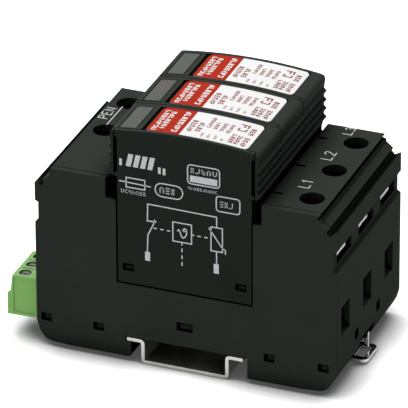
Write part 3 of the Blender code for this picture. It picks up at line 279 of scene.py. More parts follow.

# %% [markdown]
# ## Moulded plastics
#
# The black housing is glass-filled plastic from a spark-eroded mould: a fine grain, a low sheen,
# and a faint cloudiness where the melt has flowed. The plugs are smoother and a little glossier.
# One function makes all of them. The sheen is painted by direction: walls get only a small share of
# it, or they would mirror the white floor and turn grey, while faces that look up get all of it.
# Holes get painted shade, with neither sheen nor full colour, and edges are painted lighter, partly
# as rubbing from handling and partly as a painted highlight.

# %% How a plastic is built
FLOW_SCALE = 60.0
FLOW_MATT = (-0.04, 0.05)
GRAIN_SCALE = 4200.0
GRAIN_MATT = (-0.03, 0.03)
GRAIN_DEPTH = 0.04
EDGE_POLISH = -0.08
WALL_SHEEN = 0.12
HOLE_REACH = 14.0
HOLE_RANGE = (0.56, 0.82)


def plastic(name, colour, roughness, grain=0.12, specular=0.1, wear_and_highlight=1.6, radius=0.22,
            cloud=0.1, hollow_shade=0.35, hollow_range=OPEN_RANGE, reach=3.0, deep_holes=False):
    """Moulded plastic. Edges take a lighter share of the colour, partly rubbing from handling and
    partly a painted highlight, and slots a darker share, which is painted shade.
    """
    mat, shader = new_material(name)
    place = object_place(mat)
    normal = rounded_normal(mat, radius)
    edge = edge_mask(mat, normal, place)
    flow = noise(mat, place, FLOW_SCALE, detail=4.0)
    fine = noise(mat, place, GRAIN_SCALE, detail=2.0)
    base = blend_colours(mat, spread(mat, flow), shade(colour, 1 - cloud), shade(colour, 1 + cloud))
    # Edges painted lighter: partly rubbing from handling, partly a painted highlight.
    worn_and_highlit = blend_colours(mat, edge, base, shade(colour, wear_and_highlight))
    # Painted shade: in slots and holes the colour goes dark and the sheen goes out.
    unshaded_share = hollow_shade_mask(mat, reach, hollow_range)
    if deep_holes:
        own_unshaded_share = hollow_shade_mask(mat, HOLE_REACH, HOLE_RANGE, own=True)
        unshaded_share = maths(mat, "MULTIPLY", unshaded_share, own_unshaded_share)
    # Painted sheen: faces that look up take the full specular, walls only a small share, so they
    # don't mirror the white floor.
    sheen = remap(mat, upward_mask(mat), 0.0, 1.0, specular * WALL_SHEEN, specular)
    matt = spread(mat, flow, roughness + FLOW_MATT[0], roughness + FLOW_MATT[1])
    matt = maths(mat, "ADD", matt, spread(mat, fine, *GRAIN_MATT))
    connect(mat, shader, {
        "Base Color": blend_colours(mat, unshaded_share, shade(colour, hollow_shade), worn_and_highlit),
        "Specular IOR Level": maths(mat, "MULTIPLY", sheen, unshaded_share),
        "Roughness": maths(mat, "ADD", matt, maths(mat, "MULTIPLY", edge, EDGE_POLISH)),
        "Normal": bump(mat, fine, grain, GRAIN_DEPTH, normal),
    }, {"Specular IOR Level": specular})


# %% [markdown]
# Each plastic of the device is one call, with its colour, its roughness and what sets it apart. The
# housing's holes are deep, so its mask for painted shade reaches further and looks at its own walls
# as well.

# %% The plastics of this device
plastic("housing_plastic", (0.0227, 0.0282, 0.0236), 0.66, wear_and_highlight=1.8, specular=0.036,
        hollow_shade=0.04, hollow_range=(0.44, 0.92), reach=8.0, deep_holes=True)
plastic("plug_plastic", (0.0156, 0.0196, 0.0164), 0.56, grain=0.08, wear_and_highlight=2.2, specular=0.07,
        hollow_shade=0.05, hollow_range=(0.6, 0.97))
plastic("partition_plastic", (0.02, 0.021, 0.02), 0.55)
plastic("green_connector", (0.222, 0.452, 0.126), 0.45, wear_and_highlight=1.2, cloud=0.06, specular=0.45)
plastic("signal_header_plastic", (0.035, 0.036, 0.036), 0.5)
plastic("signal_bar_plastic", (0.36, 0.36, 0.34), 0.5, wear_and_highlight=1.1)
plastic("slider_plastic", (0.07, 0.28, 0.06), 0.4, wear_and_highlight=1.2)
plastic("varistor", (0.02, 0.07, 0.25), 0.35, grain=0.05, wear_and_highlight=1.3, radius=0.5)
print("Plastics made:", len(finishes))

# %% [markdown]
# ## Metals
#
# Zinc plate and tin plate are metals with a faint direction. Stretching the noise along one axis
# gives the brushed or drawn look, and the same noise moves the roughness and the bump together. A
# coarser cloud stands for the uneven plating. Edges are painted lighter, partly as rubbing and
# partly as a painted highlight. The rail lies in the dark under the housing, so painted shade
# darkens its upward faces there, while its outer walls are left unshaded.

# %% How a metal is built
NO_STRETCH = (1.0, 1.0, 1.0)
METAL_EDGE = 0.15
EDGE_SHINE = 1.12
PLATING_SCALE = 180.0
PLATING_STAIN = 0.12
PLATING_MATT = (-0.04, 0.05)
STREAK_MATT = (-0.07, 0.08)
STREAK_DEPTH = 0.03


def metal(name, colour, roughness, stretch=NO_STRETCH, scale=900.0, scratch=0.08,
          reach=2.0, hollow_shade=0.12, open_walls=False):
    """Plated metal. With open_walls, only faces that look up can take the painted shade of slots.
    """
    mat, shader = new_material(name)
    place = object_place(mat)
    normal = rounded_normal(mat, METAL_EDGE)
    edge = edge_mask(mat, normal, place)
    pulled = add(mat, "ShaderNodeMapping", {"Vector": place, "Scale": stretch})
    lines = noise(mat, pulled.outputs["Vector"], scale)
    cloud = noise(mat, place, PLATING_SCALE, detail=4.0, rough=0.65)
    plated = blend_colours(mat, spread(mat, cloud), shade(colour, 1 - PLATING_STAIN),
                           shade(colour, 1 + PLATING_STAIN / 2))
    # Edges painted lighter: partly rubbing from handling, partly a painted highlight.
    worn_and_highlit = blend_colours(mat, edge, plated, shade(colour, EDGE_SHINE))
    # Painted shade: the colour goes dark in slots and pockets narrower than the reach.
    unshaded_share = hollow_shade_mask(mat, reach)
    if open_walls:
        wall = maths(mat, "SUBTRACT", 1.0, upward_mask(mat))
        unshaded_share = maths(mat, "MAXIMUM", unshaded_share, wall)
    streak = spread(mat, lines, roughness + STREAK_MATT[0], roughness + STREAK_MATT[1])
    connect(mat, shader, {
        "Base Color": blend_colours(mat, unshaded_share, shade(colour, hollow_shade), worn_and_highlit),
        "Roughness": maths(mat, "ADD", streak, spread(mat, cloud, *PLATING_MATT)),
        "Normal": bump(mat, lines, scratch, STREAK_DEPTH, normal),
    }, {"Metallic": 1.0})


# %% [markdown]
# A small stretch along one axis draws the noise out into lines along it: along Y for
# the rolled rail and the clamps, along Z for the stamped contacts and blades, and along
# X for the foot. Springs and screws have none.

# %% The metals of this device
metal("zinc_rail", (0.48, 0.48, 0.45), 0.36, (1.0, 0.02, 1.0), scale=500.0, scratch=0.04,
      reach=10.0, hollow_shade=0.02, open_walls=True)
metal("plated_sheet", (0.80, 0.81, 0.80), 0.14, (0.05, 1.0, 1.0))
metal("tinned_copper", (0.58, 0.565, 0.51), 0.38, (1.0, 1.0, 0.05))
metal("tinned_blade", (0.62, 0.61, 0.58), 0.32, (1.0, 1.0, 0.05))
metal("spring_steel", (0.56, 0.56, 0.55), 0.3)
metal("clamp_steel", (0.47, 0.47, 0.455), 0.4, (1.0, 0.05, 1.0))
metal("screw_zinc", (0.17, 0.18, 0.16), 0.48, scale=500.0)
print("Plastics and metals made:", len(finishes))

# %% [markdown]
# ## Window and circuit board
#
# The window over the status slider is smoky polycarbonate, nearly opaque in the photo.
# It is kept as a glossy grey-olive surface with a little transmission. Full glass would
# show the slider, which the photo doesn't.

# %% Window
WINDOW_TINTS = ((0.034, 0.038, 0.026), (0.052, 0.056, 0.042))
WINDOW_ROUGH = (0.2, 0.3)
WINDOW_EDGE = 0.25
HAZE_SCALE = 140.0
RIPPLE_BUMP = 0.04
RIPPLE_DEPTH = 0.05

mat, shader = new_material("smoked_window")
haze = noise(mat, object_place(mat), HAZE_SCALE)
connect(mat, shader, {
    "Base Color": blend_colours(mat, spread(mat, haze), *WINDOW_TINTS),
    "Roughness": spread(mat, haze, *WINDOW_ROUGH),
    "Normal": bump(mat, haze, RIPPLE_BUMP, RIPPLE_DEPTH, rounded_normal(mat, WINDOW_EDGE)),
}, {"IOR": 1.58, "Specular IOR Level": 0.22, "Transmission Weight": 0.12})
print("Window made in", len(mat.node_tree.nodes), "nodes")

# %% [markdown]
# The board has the green of solder resist over the weave of its glass cloth. Two waves
# that cross, multiplied, give the weave.

# %% Circuit board
CLOTH_SCALE = 500.0
CLOTH_BUMP = 0.15
CLOTH_DEPTH = 0.03
RESIST_GREENS = ((0.01, 0.10, 0.035), (0.02, 0.15, 0.05))
RESIST_ROUGH = (0.3, 0.42)

mat, shader = new_material("circuit_board")
board_place = object_place(mat)
threads = [
    add(mat, "ShaderNodeTexWave", {"Vector": board_place, "Scale": CLOTH_SCALE},
        bands_direction=way).outputs["Fac"]
    for way in ("Y", "Z")
]
cloth = maths(mat, "MULTIPLY", *threads)
connect(mat, shader, {
    "Base Color": blend_colours(mat, cloth, *RESIST_GREENS),
    "Roughness": remap(mat, cloth, 0.0, 1.0, *RESIST_ROUGH),
    "Normal": bump(mat, cloth, CLOTH_BUMP, CLOTH_DEPTH),
})
print("Board made in", len(mat.node_tree.nodes), "nodes")

# %% [markdown]
# ## Inks and label foil
#
# Ink is a thin layer: it takes the gloss of what it lies on, and at this size its edges
# and its cover are a little uneven. The foil under the labels is satin white.

# %% Inks
COVER_SCALE = 2500.0
COVER_MATT = (-0.05, 0.06)
COVER_BUMP = 0.1
COVER_DEPTH = 0.02


def ink(name, colour, roughness, uneven, specular=0.15):
    """Printed layer. Uneven is how much thinner cover darkens the colour."""
    mat, shader = new_material(name)
    cover = noise(mat, object_place(mat), COVER_SCALE, detail=2.0)
    thin, thick = shade(colour, 1 - uneven), shade(colour, 1 + uneven / 3)
    connect(mat, shader, {
        "Base Color": blend_colours(mat, spread(mat, cover), thin, thick),
        "Roughness": spread(mat, cover, roughness + COVER_MATT[0], roughness + COVER_MATT[1]),
        "Normal": bump(mat, cover, COVER_BUMP, COVER_DEPTH),
    }, {"Specular IOR Level": specular})
    return mat


foil = ink("label_foil", (0.78, 0.78, 0.775), 0.46, 0.03, specular=0.1)
red_ink = ink("red_ink", (0.40, 0.025, 0.009), 0.55, 0.08, specular=0.03)
small_red_ink = ink("small_red_ink", (0.25, 0.058, 0.044), 0.5, 0.15)
side_ink = ink("side_ink", (0.55, 0.58, 0.60), 0.5, 0.15)
side_ink_dim = ink("side_ink_dim", (0.38, 0.40, 0.41), 0.5, 0.2)
white_ink = ink("white_ink", (0.62, 0.63, 0.62), 0.5, 0.15)
print("All materials made:", len(finishes))

# %% [markdown]
# ## Finishes for the CAD parts
#
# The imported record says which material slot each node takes. The materials above carry
# the same names, so the table of finishes covers every part.

# %% Give every CAD node its finish
for part in frame["record"]["subparts"]:
    node = nodes[part["node"]]
    node.data.materials.clear()
    node.data.materials.append(finishes[part["material_slot"]])

# %% [markdown]
# ## Solids from rings of points
#
# Print and wire are made the same way here: rings of points along a path, with faces
# between neighbouring rings. A strip of print has four points to a ring, a wire eight.
# Curves with a bevel could do this too, but a mesh keeps every edge where it is drawn.

# %% Rings and skins
def ring(build, points):
    """Vertices for points in mm."""
    return [build.verts.new(Vector(point) * MM) for point in points]


def skin(build, rings, slot=0, closed=False):
    """Faces between neighbouring rings, and over both ends unless the path is closed."""
    pairs = list(zip(rings, rings[1:]))
    if closed:
        pairs.append((rings[-1], rings[0]))
    faces = []
    for one, two in pairs:
        for k in range(len(one)):
            n = (k + 1) % len(one)
            faces.append(build.faces.new((one[k], two[k], two[n], one[n])))
    if not closed:
        faces += [build.faces.new(rings[0]), build.faces.new(rings[-1][::-1])]
    for face in faces:
        face.material_index = slot


def new_object(name, build, materials):
    """Turns a bmesh into an object with the given materials."""
    mesh = bpy.data.meshes.new(name)
    build.to_mesh(mesh)
    build.free()
    for mat in materials:
        mesh.materials.append(mat)
    obj = bpy.data.objects.new(name, mesh)
    scene.collection.objects.link(obj)
    return obj


# %% [markdown]
# ## Printed labels
#
# Each plug carries a label on its crowned top. The label is built as a thin sheet with
# rounded corners that follows the crown, and its print as fields laid on the sheet. A
# field is a strip: at each step along X it has a low and a high edge in Y.

# %% Strips that follow the crown
CROWN_TOP = 74.0
CROWN_RADIUS = 150.0
ROW_STEP = 1.0
CORNER_STEPS = 6


def crown_height(x):
    return CROWN_TOP - CROWN_RADIUS + math.sqrt(CROWN_RADIUS ** 2 - x ** 2)


def below_crown(depth):
    """Height function for a layer that lies a depth under the crown."""
    return lambda x: crown_height(x) - depth


def add_strip(build, rows, top, depth, slot):
    """Closed strip. Rows are (x, low y, high y), and top gives the height at x."""
    rings = []
    for x, low, high in rows:
        z = top(x)
        rings.append(ring(build, (
            (x, low, z), (x, high, z), (x, high, z - depth), (x, low, z - depth),
        )))
    skin(build, rings, slot)


def field_rows(x_low, x_high, y_low, y_high, corner_low=0.0, corner_high=0.0):
    """Rows of a rectangle whose ends at low x and high x may have round corners."""
    places = {x_low, x_high}
    count = max(1, math.ceil((x_high - x_low) / ROW_STEP))
    places.update(x_low + (x_high - x_low) * k / count for k in range(1, count))
    for corner, edge, way in ((corner_low, x_low, 1), (corner_high, x_high, -1)):
        if corner:
            angles = [k * math.pi / (2 * CORNER_STEPS) for k in range(1, CORNER_STEPS + 1)]
            places.update(edge + way * corner * (1 - math.cos(angle)) for angle in angles)
    rows = []
    for x in sorted(places):
        inset = 0.0
        for corner, reach in ((corner_low, x - x_low), (corner_high, x_high - x)):
            if corner and reach < corner:
                inset = corner - math.sqrt(max(0.0, corner ** 2 - (corner - reach) ** 2))
        rows.append((x, y_low + inset, y_high - inset))
    return rows


print("Crown height at 0 and 18 mm:", [round(crown_height(x), 2) for x in (0.0, 18.0)])

# %% [markdown]
# The print is kept generic. A sign is two or three plain strokes in a small box: from a
# distance it reads as print, and it says nothing. Signs of different widths, taken in
# turn from a short list, make up a line.

# %% Lines of plain signs
SIGN_WIDTHS = (0.95, 0.72, 0.85, 0.6, 0.9, 0.78, 0.65, 0.88, 0.7, 0.8)
SIGN_GAP = 0.32
SIGN_STROKES = ("lrt", "ltb", "rbm", "lm", "lrb", "tbm", "lrm", "rt", "ltm", "lbr")


def sign_line(start, end, shift, scale):
    """Boxes of a line of signs from start to end, as (low, high, strokes)."""
    signs = []
    place = start
    index = shift
    while True:
        width = SIGN_WIDTHS[index % len(SIGN_WIDTHS)] * scale
        if place + width > end:
            return signs
        signs.append((place, place + width, SIGN_STROKES[index % len(SIGN_STROKES)]))
        place += width + SIGN_GAP * scale
        index += 1


def sign_strokes(across, along, strokes, pen):
    """Rectangles of a sign. Across runs from its top to its foot, along is the reading way."""
    (top, foot), (left, right_end) = across, along
    middle = (top + foot) / 2
    boxes = {
        "l": (top, foot, left, left + pen),
        "r": (top, foot, right_end - pen, right_end),
        "t": (top, top + pen, left, right_end),
        "b": (foot - pen, foot, left, right_end),
        "m": (middle - pen / 2, middle + pen / 2, left, right_end),
    }
    return [boxes[stroke] for stroke in strokes]


print("Signs in a line of 10 mm:", len(sign_line(0.0, 10.0, 0, 1.0)))

# %% [markdown]
# A red field takes the end of the label next to the window. On it stand lines of white
# signs, and on the white ground lines of small red ones. A line is written as its place
# across the label (X, from and to), its place along (Y, from and to, from the middle of
# the plug), its first sign, and the width and pen of its signs.

# %% The lines on a label
RED_END = -2.0
WHITE_LINES = (
    (-10.8, -9.3, -6.6, 6.2, 0, 1.45, 0.4),
    (-8.8, -7.3, -5.2, 6.2, 3, 1.45, 0.4),
    (-4.9, -3.2, -6.2, 6.4, 1, 1.5, 0.45),
)
RED_LINES = (
    (-1.3, 0.3, -4.6, 3.6, 2, 1.35, 0.38),
    (1.1, 2.7, -3.8, 2.9, 5, 1.35, 0.38),
    (3.5, 4.6, -0.4, 6.3, 1, 0.95, 0.28),
    (5.5, 6.6, -0.6, 4.2, 4, 0.95, 0.28),
    (7.5, 8.6, -1.2, 4.2, 7, 0.95, 0.28),
    (9.5, 10.6, -1.2, 4.0, 0, 0.95, 0.28),
    (3.6, 4.3, -6.2, -3.6, 3, 0.7, 0.16),
    (5.6, 6.3, -6.2, -4.0, 5, 0.7, 0.16),
    (7.6, 8.3, -6.2, -3.4, 8, 0.7, 0.16),
    (9.6, 10.3, -6.2, -4.2, 2, 0.7, 0.16),
    (11.8, 14.5, 1.6, 6.0, 1, 2.1, 0.5),
    (11.7, 13.0, -6.0, -0.6, 4, 1.2, 0.36),
    (13.4, 14.7, -6.0, -0.6, 8, 1.2, 0.36),
    (15.3, 16.8, -6.3, -0.8, 2, 1.25, 0.38),
    (15.3, 16.8, 0.6, 5.2, 4, 1.25, 0.38),
)
print("Lines on a label:", len(WHITE_LINES) + len(RED_LINES))

# %% [markdown]
# Three layers make a label: the foil, the red field on it, and the signs on top of both.
# The top layer ends exactly at the crown, so the label fills its bed and no more.

# %% Build the labels
LABEL_X = (-12.0, 18.1)
LABEL_HALF_WIDTH = 7.4
LABEL_CORNER = 1.5
LABEL_DEPTH = 0.3
PRINT_RISE = 0.03
PLUG_CENTRES = (-17.8, 0.0, 17.8)

foil_top = below_crown(2 * PRINT_RISE)
field_top = below_crown(PRINT_RISE)
for index, centre in enumerate(PLUG_CENTRES):
    build = bmesh.new()
    y_low, y_high = centre - LABEL_HALF_WIDTH, centre + LABEL_HALF_WIDTH
    add_strip(build, field_rows(*LABEL_X, y_low, y_high, LABEL_CORNER, LABEL_CORNER),
              foil_top, LABEL_DEPTH - 2 * PRINT_RISE, 0)
    add_strip(build, field_rows(LABEL_X[0], RED_END, y_low, y_high, LABEL_CORNER),
              field_top, PRINT_RISE, 1)
    for lines, top, slot in ((WHITE_LINES, crown_height, 2), (RED_LINES, field_top, 3)):
        for x_low, x_high, start, end, shift, scale, pen in lines:
            for low, high, strokes in sign_line(start, end, shift, scale):
                along = (centre + low, centre + high)
                for box in sign_strokes((x_low, x_high), along, strokes, pen):
                    add_strip(build, field_rows(*box), top, PRINT_RISE, slot)
    bmesh.ops.recalc_face_normals(build, faces=build.faces)
    label = new_object(f"printed_label_{index + 1}", build, (foil, red_ink, foil, small_red_ink))
    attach(label, f"plug_{index + 1}")
    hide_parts(f"label_{index + 1}")
print("Labels printed:", len(PLUG_CENTRES), "with faces each:", len(label.data.polygons))

# %% [markdown]
# ## Print on the side of the first plug
#
# The near plug shows a circuit drawing: a disconnector, a temperature symbol in a box,
# a varistor and two terminals. It is drawn with ribbons, thin flat bars that follow a
# line. Ribbons meet at their corners with a mitre, so that a frame looks like one stroke.

# %% Ribbons on a plane
MITRE_LIMIT = 0.4


def ribbon_sides(points, width, closed):
    """Left and right edge of a line, mitred at its corners."""
    count = len(points)
    left, other = [], []
    for i in range(count):
        before = points[i - 1] if i or closed else None
        after = points[(i + 1) % count] if i + 1 < count or closed else None
        here = Vector(points[i])
        ways = []
        if before is not None:
            ways.append((here - Vector(before)).normalized())
        if after is not None:
            ways.append((Vector(after) - here).normalized())
        way = sum(ways, Vector((0.0, 0.0))).normalized()
        side = Vector((-way.y, way.x))
        stretch = 1.0
        if len(ways) == 2:
            stretch = 1.0 / max(MITRE_LIMIT, side.dot(Vector((-ways[0].y, ways[0].x))))
        left.append(here + side * width / 2 * stretch)
        other.append(here - side * width / 2 * stretch)
    return left, other


def add_ribbon(build, points, width, to_space, depth, closed=False):
    """Ribbon as a closed thin solid. to_space turns (u, v, rise) into a point in mm."""
    rings = []
    for a, b in zip(*ribbon_sides(points, width, closed)):
        high = (to_space(*a, depth), to_space(*b, depth))
        low = (to_space(*b, 0.0), to_space(*a, 0.0))
        rings.append(ring(build, high + low))
    skin(build, rings, closed=closed)


square_turn, _ = ribbon_sides([(0.0, 0.0), (4.0, 0.0), (4.0, 4.0)], 2.0, closed=False)
print("A 2 mm ribbon turns a square corner at:", [round(v, 2) for v in square_turn[1]])

# %% [markdown]
# Filled blocks are plates, from their corners. Frames are lines of corners too, square
# or rounded, which a closed ribbon follows.

# %% Plates and frames
PILL_STEPS = 4


def add_plate(build, corners, to_space, depth, slot=0):
    """Flat plate from its corners in (u, v)."""
    rings = [ring(build, [to_space(u, v, rise) for u, v in corners]) for rise in (depth, 0.0)]
    skin(build, rings, slot)


def rectangle(u_low, v_low, u_high, v_high):
    return [(u_low, v_low), (u_high, v_low), (u_high, v_high), (u_low, v_high)]


def pill(u_low, v_low, u_high, v_high, corner):
    """Rectangle with round corners."""
    centres = (
        (u_high - corner, v_low + corner, -90),
        (u_high - corner, v_high - corner, 0),
        (u_low + corner, v_high - corner, 90),
        (u_low + corner, v_low + corner, 180),
    )
    points = []
    for u, v, start in centres:
        for step in range(PILL_STEPS + 1):
            a = math.radians(start + 90 / PILL_STEPS * step)
            points.append((u + corner * math.cos(a), v + corner * math.sin(a)))
    return points


print("Points round a frame with round corners:", len(pill(0, 0, 4, 2, 1)))

# %% [markdown]
# The circuit is written as points in (x, z): open lines, closed frames, dashes that join
# the symbols, and a solid block for each terminal.

# %% The circuit drawing
DRAWN_LINES = (
    [(-11.0, 45.9), (-10.9, 51.2), (9.7, 50.9), (9.7, 47.8)],
    [(-11.3, 45.8), (-8.2, 46.0)],
    [(-8.8, 46.6), (-9.2, 45.1), (-10.9, 41.4), (-11.1, 36.0)],
    [(9.65, 40.0), (9.65, 36.1)],
    [(7.3, 47.2), (11.3, 41.5), (12.3, 40.9), (12.3, 39.6)],
    [(-2.1, 44.3), (-1.7, 44.8), (-1.3, 44.4), (-0.9, 43.0), (-0.4, 42.4), (0.3, 42.9),
     (0.8, 44.0), (0.7, 45.1), (0.2, 45.5), (-0.3, 45.1), (-0.1, 44.6), (0.8, 44.6)],
    [(-19.4, 57.0), (-9.9, 56.7)],
)
DASH_Z = 43.9
DASH_X = -0.7
LEVEL_DASHES = ((-9.2, -8.2), (-7.2, -6.2), (-5.2, -4.2), (2.4, 3.0), (3.9, 5.0), (6.0, 7.0))
UPRIGHT_DASHES = ((40.8, 40.0), (39.1, 37.9), (36.9, 35.8), (34.8, 33.6))
DASHES = [[(x_from, DASH_Z), (x_to, DASH_Z)] for x_from, x_to in LEVEL_DASHES]
DASHES += [[(DASH_X, z_from), (DASH_X, z_to)] for z_from, z_to in UPRIGHT_DASHES]
DRAWN_FRAMES = (
    rectangle(-3.4, 41.0, 2.2, 47.0),
    rectangle(8.0, 40.1, 11.4, 47.6),
    rectangle(-17.3, 55.4, -11.7, 58.4),
)
TERMINAL_BLOCKS = (
    rectangle(-11.8, 33.2, -10.3, 36.0),
    rectangle(8.8, 33.1, 10.3, 36.1),
)
print("Lines, dashes and frames of the circuit:",
      len(DRAWN_LINES), len(DASHES), len(DRAWN_FRAMES))

# %% [markdown]
# Above the drawing stand plain bars, frames and lines of signs, which mean nothing and
# only balance the print.

# %% Bars, frames and small signs
LEANING_BARS = 4
BAR_X, BAR_STEP = -17.4, 2.15
BAR_Z, BAR_HEIGHT = 62.0, 3.9
BAR_WIDTH, BAR_LEAN = 1.5, 0.858

PLAIN_BARS = [
    rectangle(-19.3, 61.9, -18.5, 64.0),
    rectangle(-7.7, 61.3, -6.9, 63.3),
    rectangle(-6.3, 61.2, -5.5, 63.2),
    rectangle(1.8, 60.6, 9.9, 62.6),
]
for step in range(LEANING_BARS):
    u = BAR_X + BAR_STEP * step
    foot = [(u, BAR_Z), (u + BAR_WIDTH, BAR_Z)]
    head = [(x + BAR_LEAN, z + BAR_HEIGHT) for x, z in reversed(foot)]
    PLAIN_BARS.append(foot + head)
PLAIN_FRAMES = (
    pill(1.1, 60.0, 10.6, 65.9, 1.0),
    pill(-8.6, 54.3, -0.4, 58.4, 1.9),
    pill(9.6, 52.9, 16.6, 57.6, 0.9),
)
SMALL_LINES = (
    (-18.9, -10.6, 53.4, 54.6, 0, 1.0, 0.24),
    (-7.3, -1.6, 55.4, 57.3, 4, 1.5, 0.36),
    (2.0, 9.9, 63.4, 65.0, 6, 1.5, 0.36),
    (1.2, 10.6, 58.1, 59.0, 2, 0.8, 0.22),
    (10.7, 15.7, 54.3, 56.1, 5, 1.3, 0.3),
)
print("Plain bars and frames:", len(PLAIN_BARS), len(PLAIN_FRAMES))

# %% [markdown]
# All of it becomes one thin piece on the plug's side, in a full and a dimmer ink.

# %% Build the side print
LINE_WIDTH = 0.34
INK_DEPTH = 0.06
SIDE_Y = -26.55


def on_side(u, v, rise):
    return (u, SIDE_Y - rise, v)


build = bmesh.new()
for line in [*DRAWN_LINES, *DASHES]:
    add_ribbon(build, line, LINE_WIDTH, on_side, INK_DEPTH)
for line in DRAWN_FRAMES + PLAIN_FRAMES:
    add_ribbon(build, line, LINE_WIDTH, on_side, INK_DEPTH, closed=True)
for block in [*TERMINAL_BLOCKS, *PLAIN_BARS]:
    add_plate(build, block, on_side, INK_DEPTH)
for u_low, u_high, v_low, v_high, shift, scale, pen in SMALL_LINES:
    for low, high, strokes in sign_line(u_low, u_high, shift, scale):
        for v_one, v_two, u_one, u_two in sign_strokes((v_low, v_high), (low, high), strokes, pen):
            add_plate(build, rectangle(u_one, v_one, u_two, v_two), on_side, INK_DEPTH, slot=1)
bmesh.ops.recalc_face_normals(build, faces=build.faces)
side_print = new_object("side_print", build, (side_ink, side_ink_dim))
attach(side_print, "plug_1")
print("Faces in the side print:", len(side_print.data.polygons))

# %% [markdown]
# ## Terminal marks
#
# The terminals carry the usual marks for the three phases and for the combined earth
# and neutral. Each letter is a few strokes in a box one unit wide and one and a half
# high. Text objects would need a font, and these few letters are quicker as strokes.

# %% Letters made of strokes
LETTERS = {
    "L": [[(0, 1.5), (0, 0), (0.85, 0)]],
    "1": [[(0.1, 1.15), (0.45, 1.5), (0.45, 0)]],
    "2": [[(0.05, 1.2), (0.2, 1.45), (0.5, 1.5), (0.8, 1.4), (0.85, 1.1), (0.65, 0.75),
           (0.05, 0), (0.9, 0)]],
    "3": [[(0.05, 1.3), (0.25, 1.5), (0.65, 1.5), (0.85, 1.3), (0.85, 1.0), (0.6, 0.8),
           (0.35, 0.8)],
          [(0.6, 0.8), (0.88, 0.6), (0.88, 0.25), (0.65, 0), (0.25, 0), (0.05, 0.2)]],
    "P": [[(0, 0), (0, 1.5), (0.6, 1.5), (0.85, 1.3), (0.85, 0.95), (0.6, 0.75), (0, 0.75)]],
    "E": [[(0.85, 1.5), (0, 1.5), (0, 0), (0.85, 0)], [(0, 0.78), (0.7, 0.78)]],
    "N": [[(0, 0), (0, 1.5), (0.85, 0), (0.85, 1.5)]],
}
print("Letters:", " ".join(LETTERS))

# %% [markdown]
# The marks read along Y, with their tops towards -X. Each has the X of its foot, the Y
# where it starts, and its size in mm.

# %% Place the marks
TOP_Z = 57.0
LETTER_ADVANCE = 1.35
MARK_PEN = 0.32
MARKS = (
    ("L1", 31.5, -12.2, 2.1),
    ("L2", 31.5, 5.8, 2.1),
    ("L3", 31.5, 22.3, 1.8),
    ("PEN", -36.6, 7.0, 1.9),
)
UNDERLINE = [(-35.4, 3.6), (-35.4, 15.6)]
UNDERLINE_PEN = 0.3


def on_top(u, v, rise):
    return (u, v, TOP_Z + rise)


build = bmesh.new()
for word, x_foot, y_start, size in MARKS:
    for index, letter in enumerate(word):
        for stroke in LETTERS[letter]:
            line = [(x_foot - v * size, y_start + (u + index * LETTER_ADVANCE) * size)
                    for u, v in stroke]
            add_ribbon(build, line, MARK_PEN, on_top, INK_DEPTH)
add_ribbon(build, UNDERLINE, UNDERLINE_PEN, on_top, INK_DEPTH)
bmesh.ops.recalc_face_normals(build, faces=build.faces)
terminal_marks = new_object("terminal_marks", build, (white_ink,))
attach(terminal_marks, "housing")
print("Faces in the terminal marks:", len(terminal_marks.data.polygons))

# %% [markdown]
# ## Foot spring
#
# A small compression spring pulls the foot under the rail. On the real device it is the one piece
# that changes its shape when the foot moves. A finer coil takes the place of the CAD coil and fills
# the same box. Its end turns lie close together, as on a real spring.

# %% Course of the coil
SPRING_TURNS = 7
SPRING_WIRE = 0.6
CLOSE_PITCH = 1.05
TURN_STEPS = 24
WIRE_SIDES = 8


def coil_place(turns, start, end):
    """Place along the spring after so many turns, with one close turn at each end."""
    close = SPRING_WIRE * CLOSE_PITCH
    pitch = (end - start - 2 * close) / (SPRING_TURNS - 2)
    open_turns = min(max(turns - 1, 0), SPRING_TURNS - 2)
    return start + close * (turns - open_turns) + pitch * open_turns


def wire_coil(build, low, high):
    """Coil of round wire that fills the box between two corners, with its axis along X."""
    wire = SPRING_WIRE / 2
    radius = (high.y - low.y) / 2 - wire
    middle = (low + high) / 2
    path = []
    for step in range(SPRING_TURNS * TURN_STEPS + 1):
        turns = step / TURN_STEPS
        out = Vector((0.0, math.cos(math.tau * turns), math.sin(math.tau * turns)))
        along = coil_place(turns, low.x + wire, high.x - wire)
        path.append((Vector((along, middle.y, middle.z)) + out * radius, out))
    angles = [math.tau * corner / WIRE_SIDES for corner in range(WIRE_SIDES)]
    rings = []
    for k, (point, out) in enumerate(path):
        way = path[min(k + 1, len(path) - 1)][0] - path[max(k - 1, 0)][0]
        side = way.cross(out).normalized()
        rings.append(ring(build, [
            point + (out * math.cos(a) + side * math.sin(a)) * wire for a in angles
        ]))
    skin(build, rings)


# %% [markdown]
# The outer end of the spring stays in the housing, and on the real device the coil shortens towards
# it when the foot is drawn out. Here the coil is built once, at rest, and rides with the housing;
# the CAD coil is hidden.

spring_low, spring_high = (Vector(corner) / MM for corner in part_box("foot_spring"))
build = bmesh.new()
wire_coil(build, spring_low, spring_high)
bmesh.ops.recalc_face_normals(build, faces=build.faces)
for face in build.faces:
    face.smooth = len(face.verts) == 4
foot_coil = new_object("foot_coil", build, (finishes["spring_steel"],))
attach(foot_coil, "housing")
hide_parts("foot_spring")
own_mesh(foot_coil)

# %% [markdown]
# ## Floor
#
# The photograph has a white ground with a soft shadow. The floor is a matt pale sheet.
# For the camera, in mirrors and through glass it also glows a little, so that it reaches
# white without more light falling on the device. A wide lamp gives almost no shadow
# close to the device, so the sheet darkens by its own ambient occlusion there.

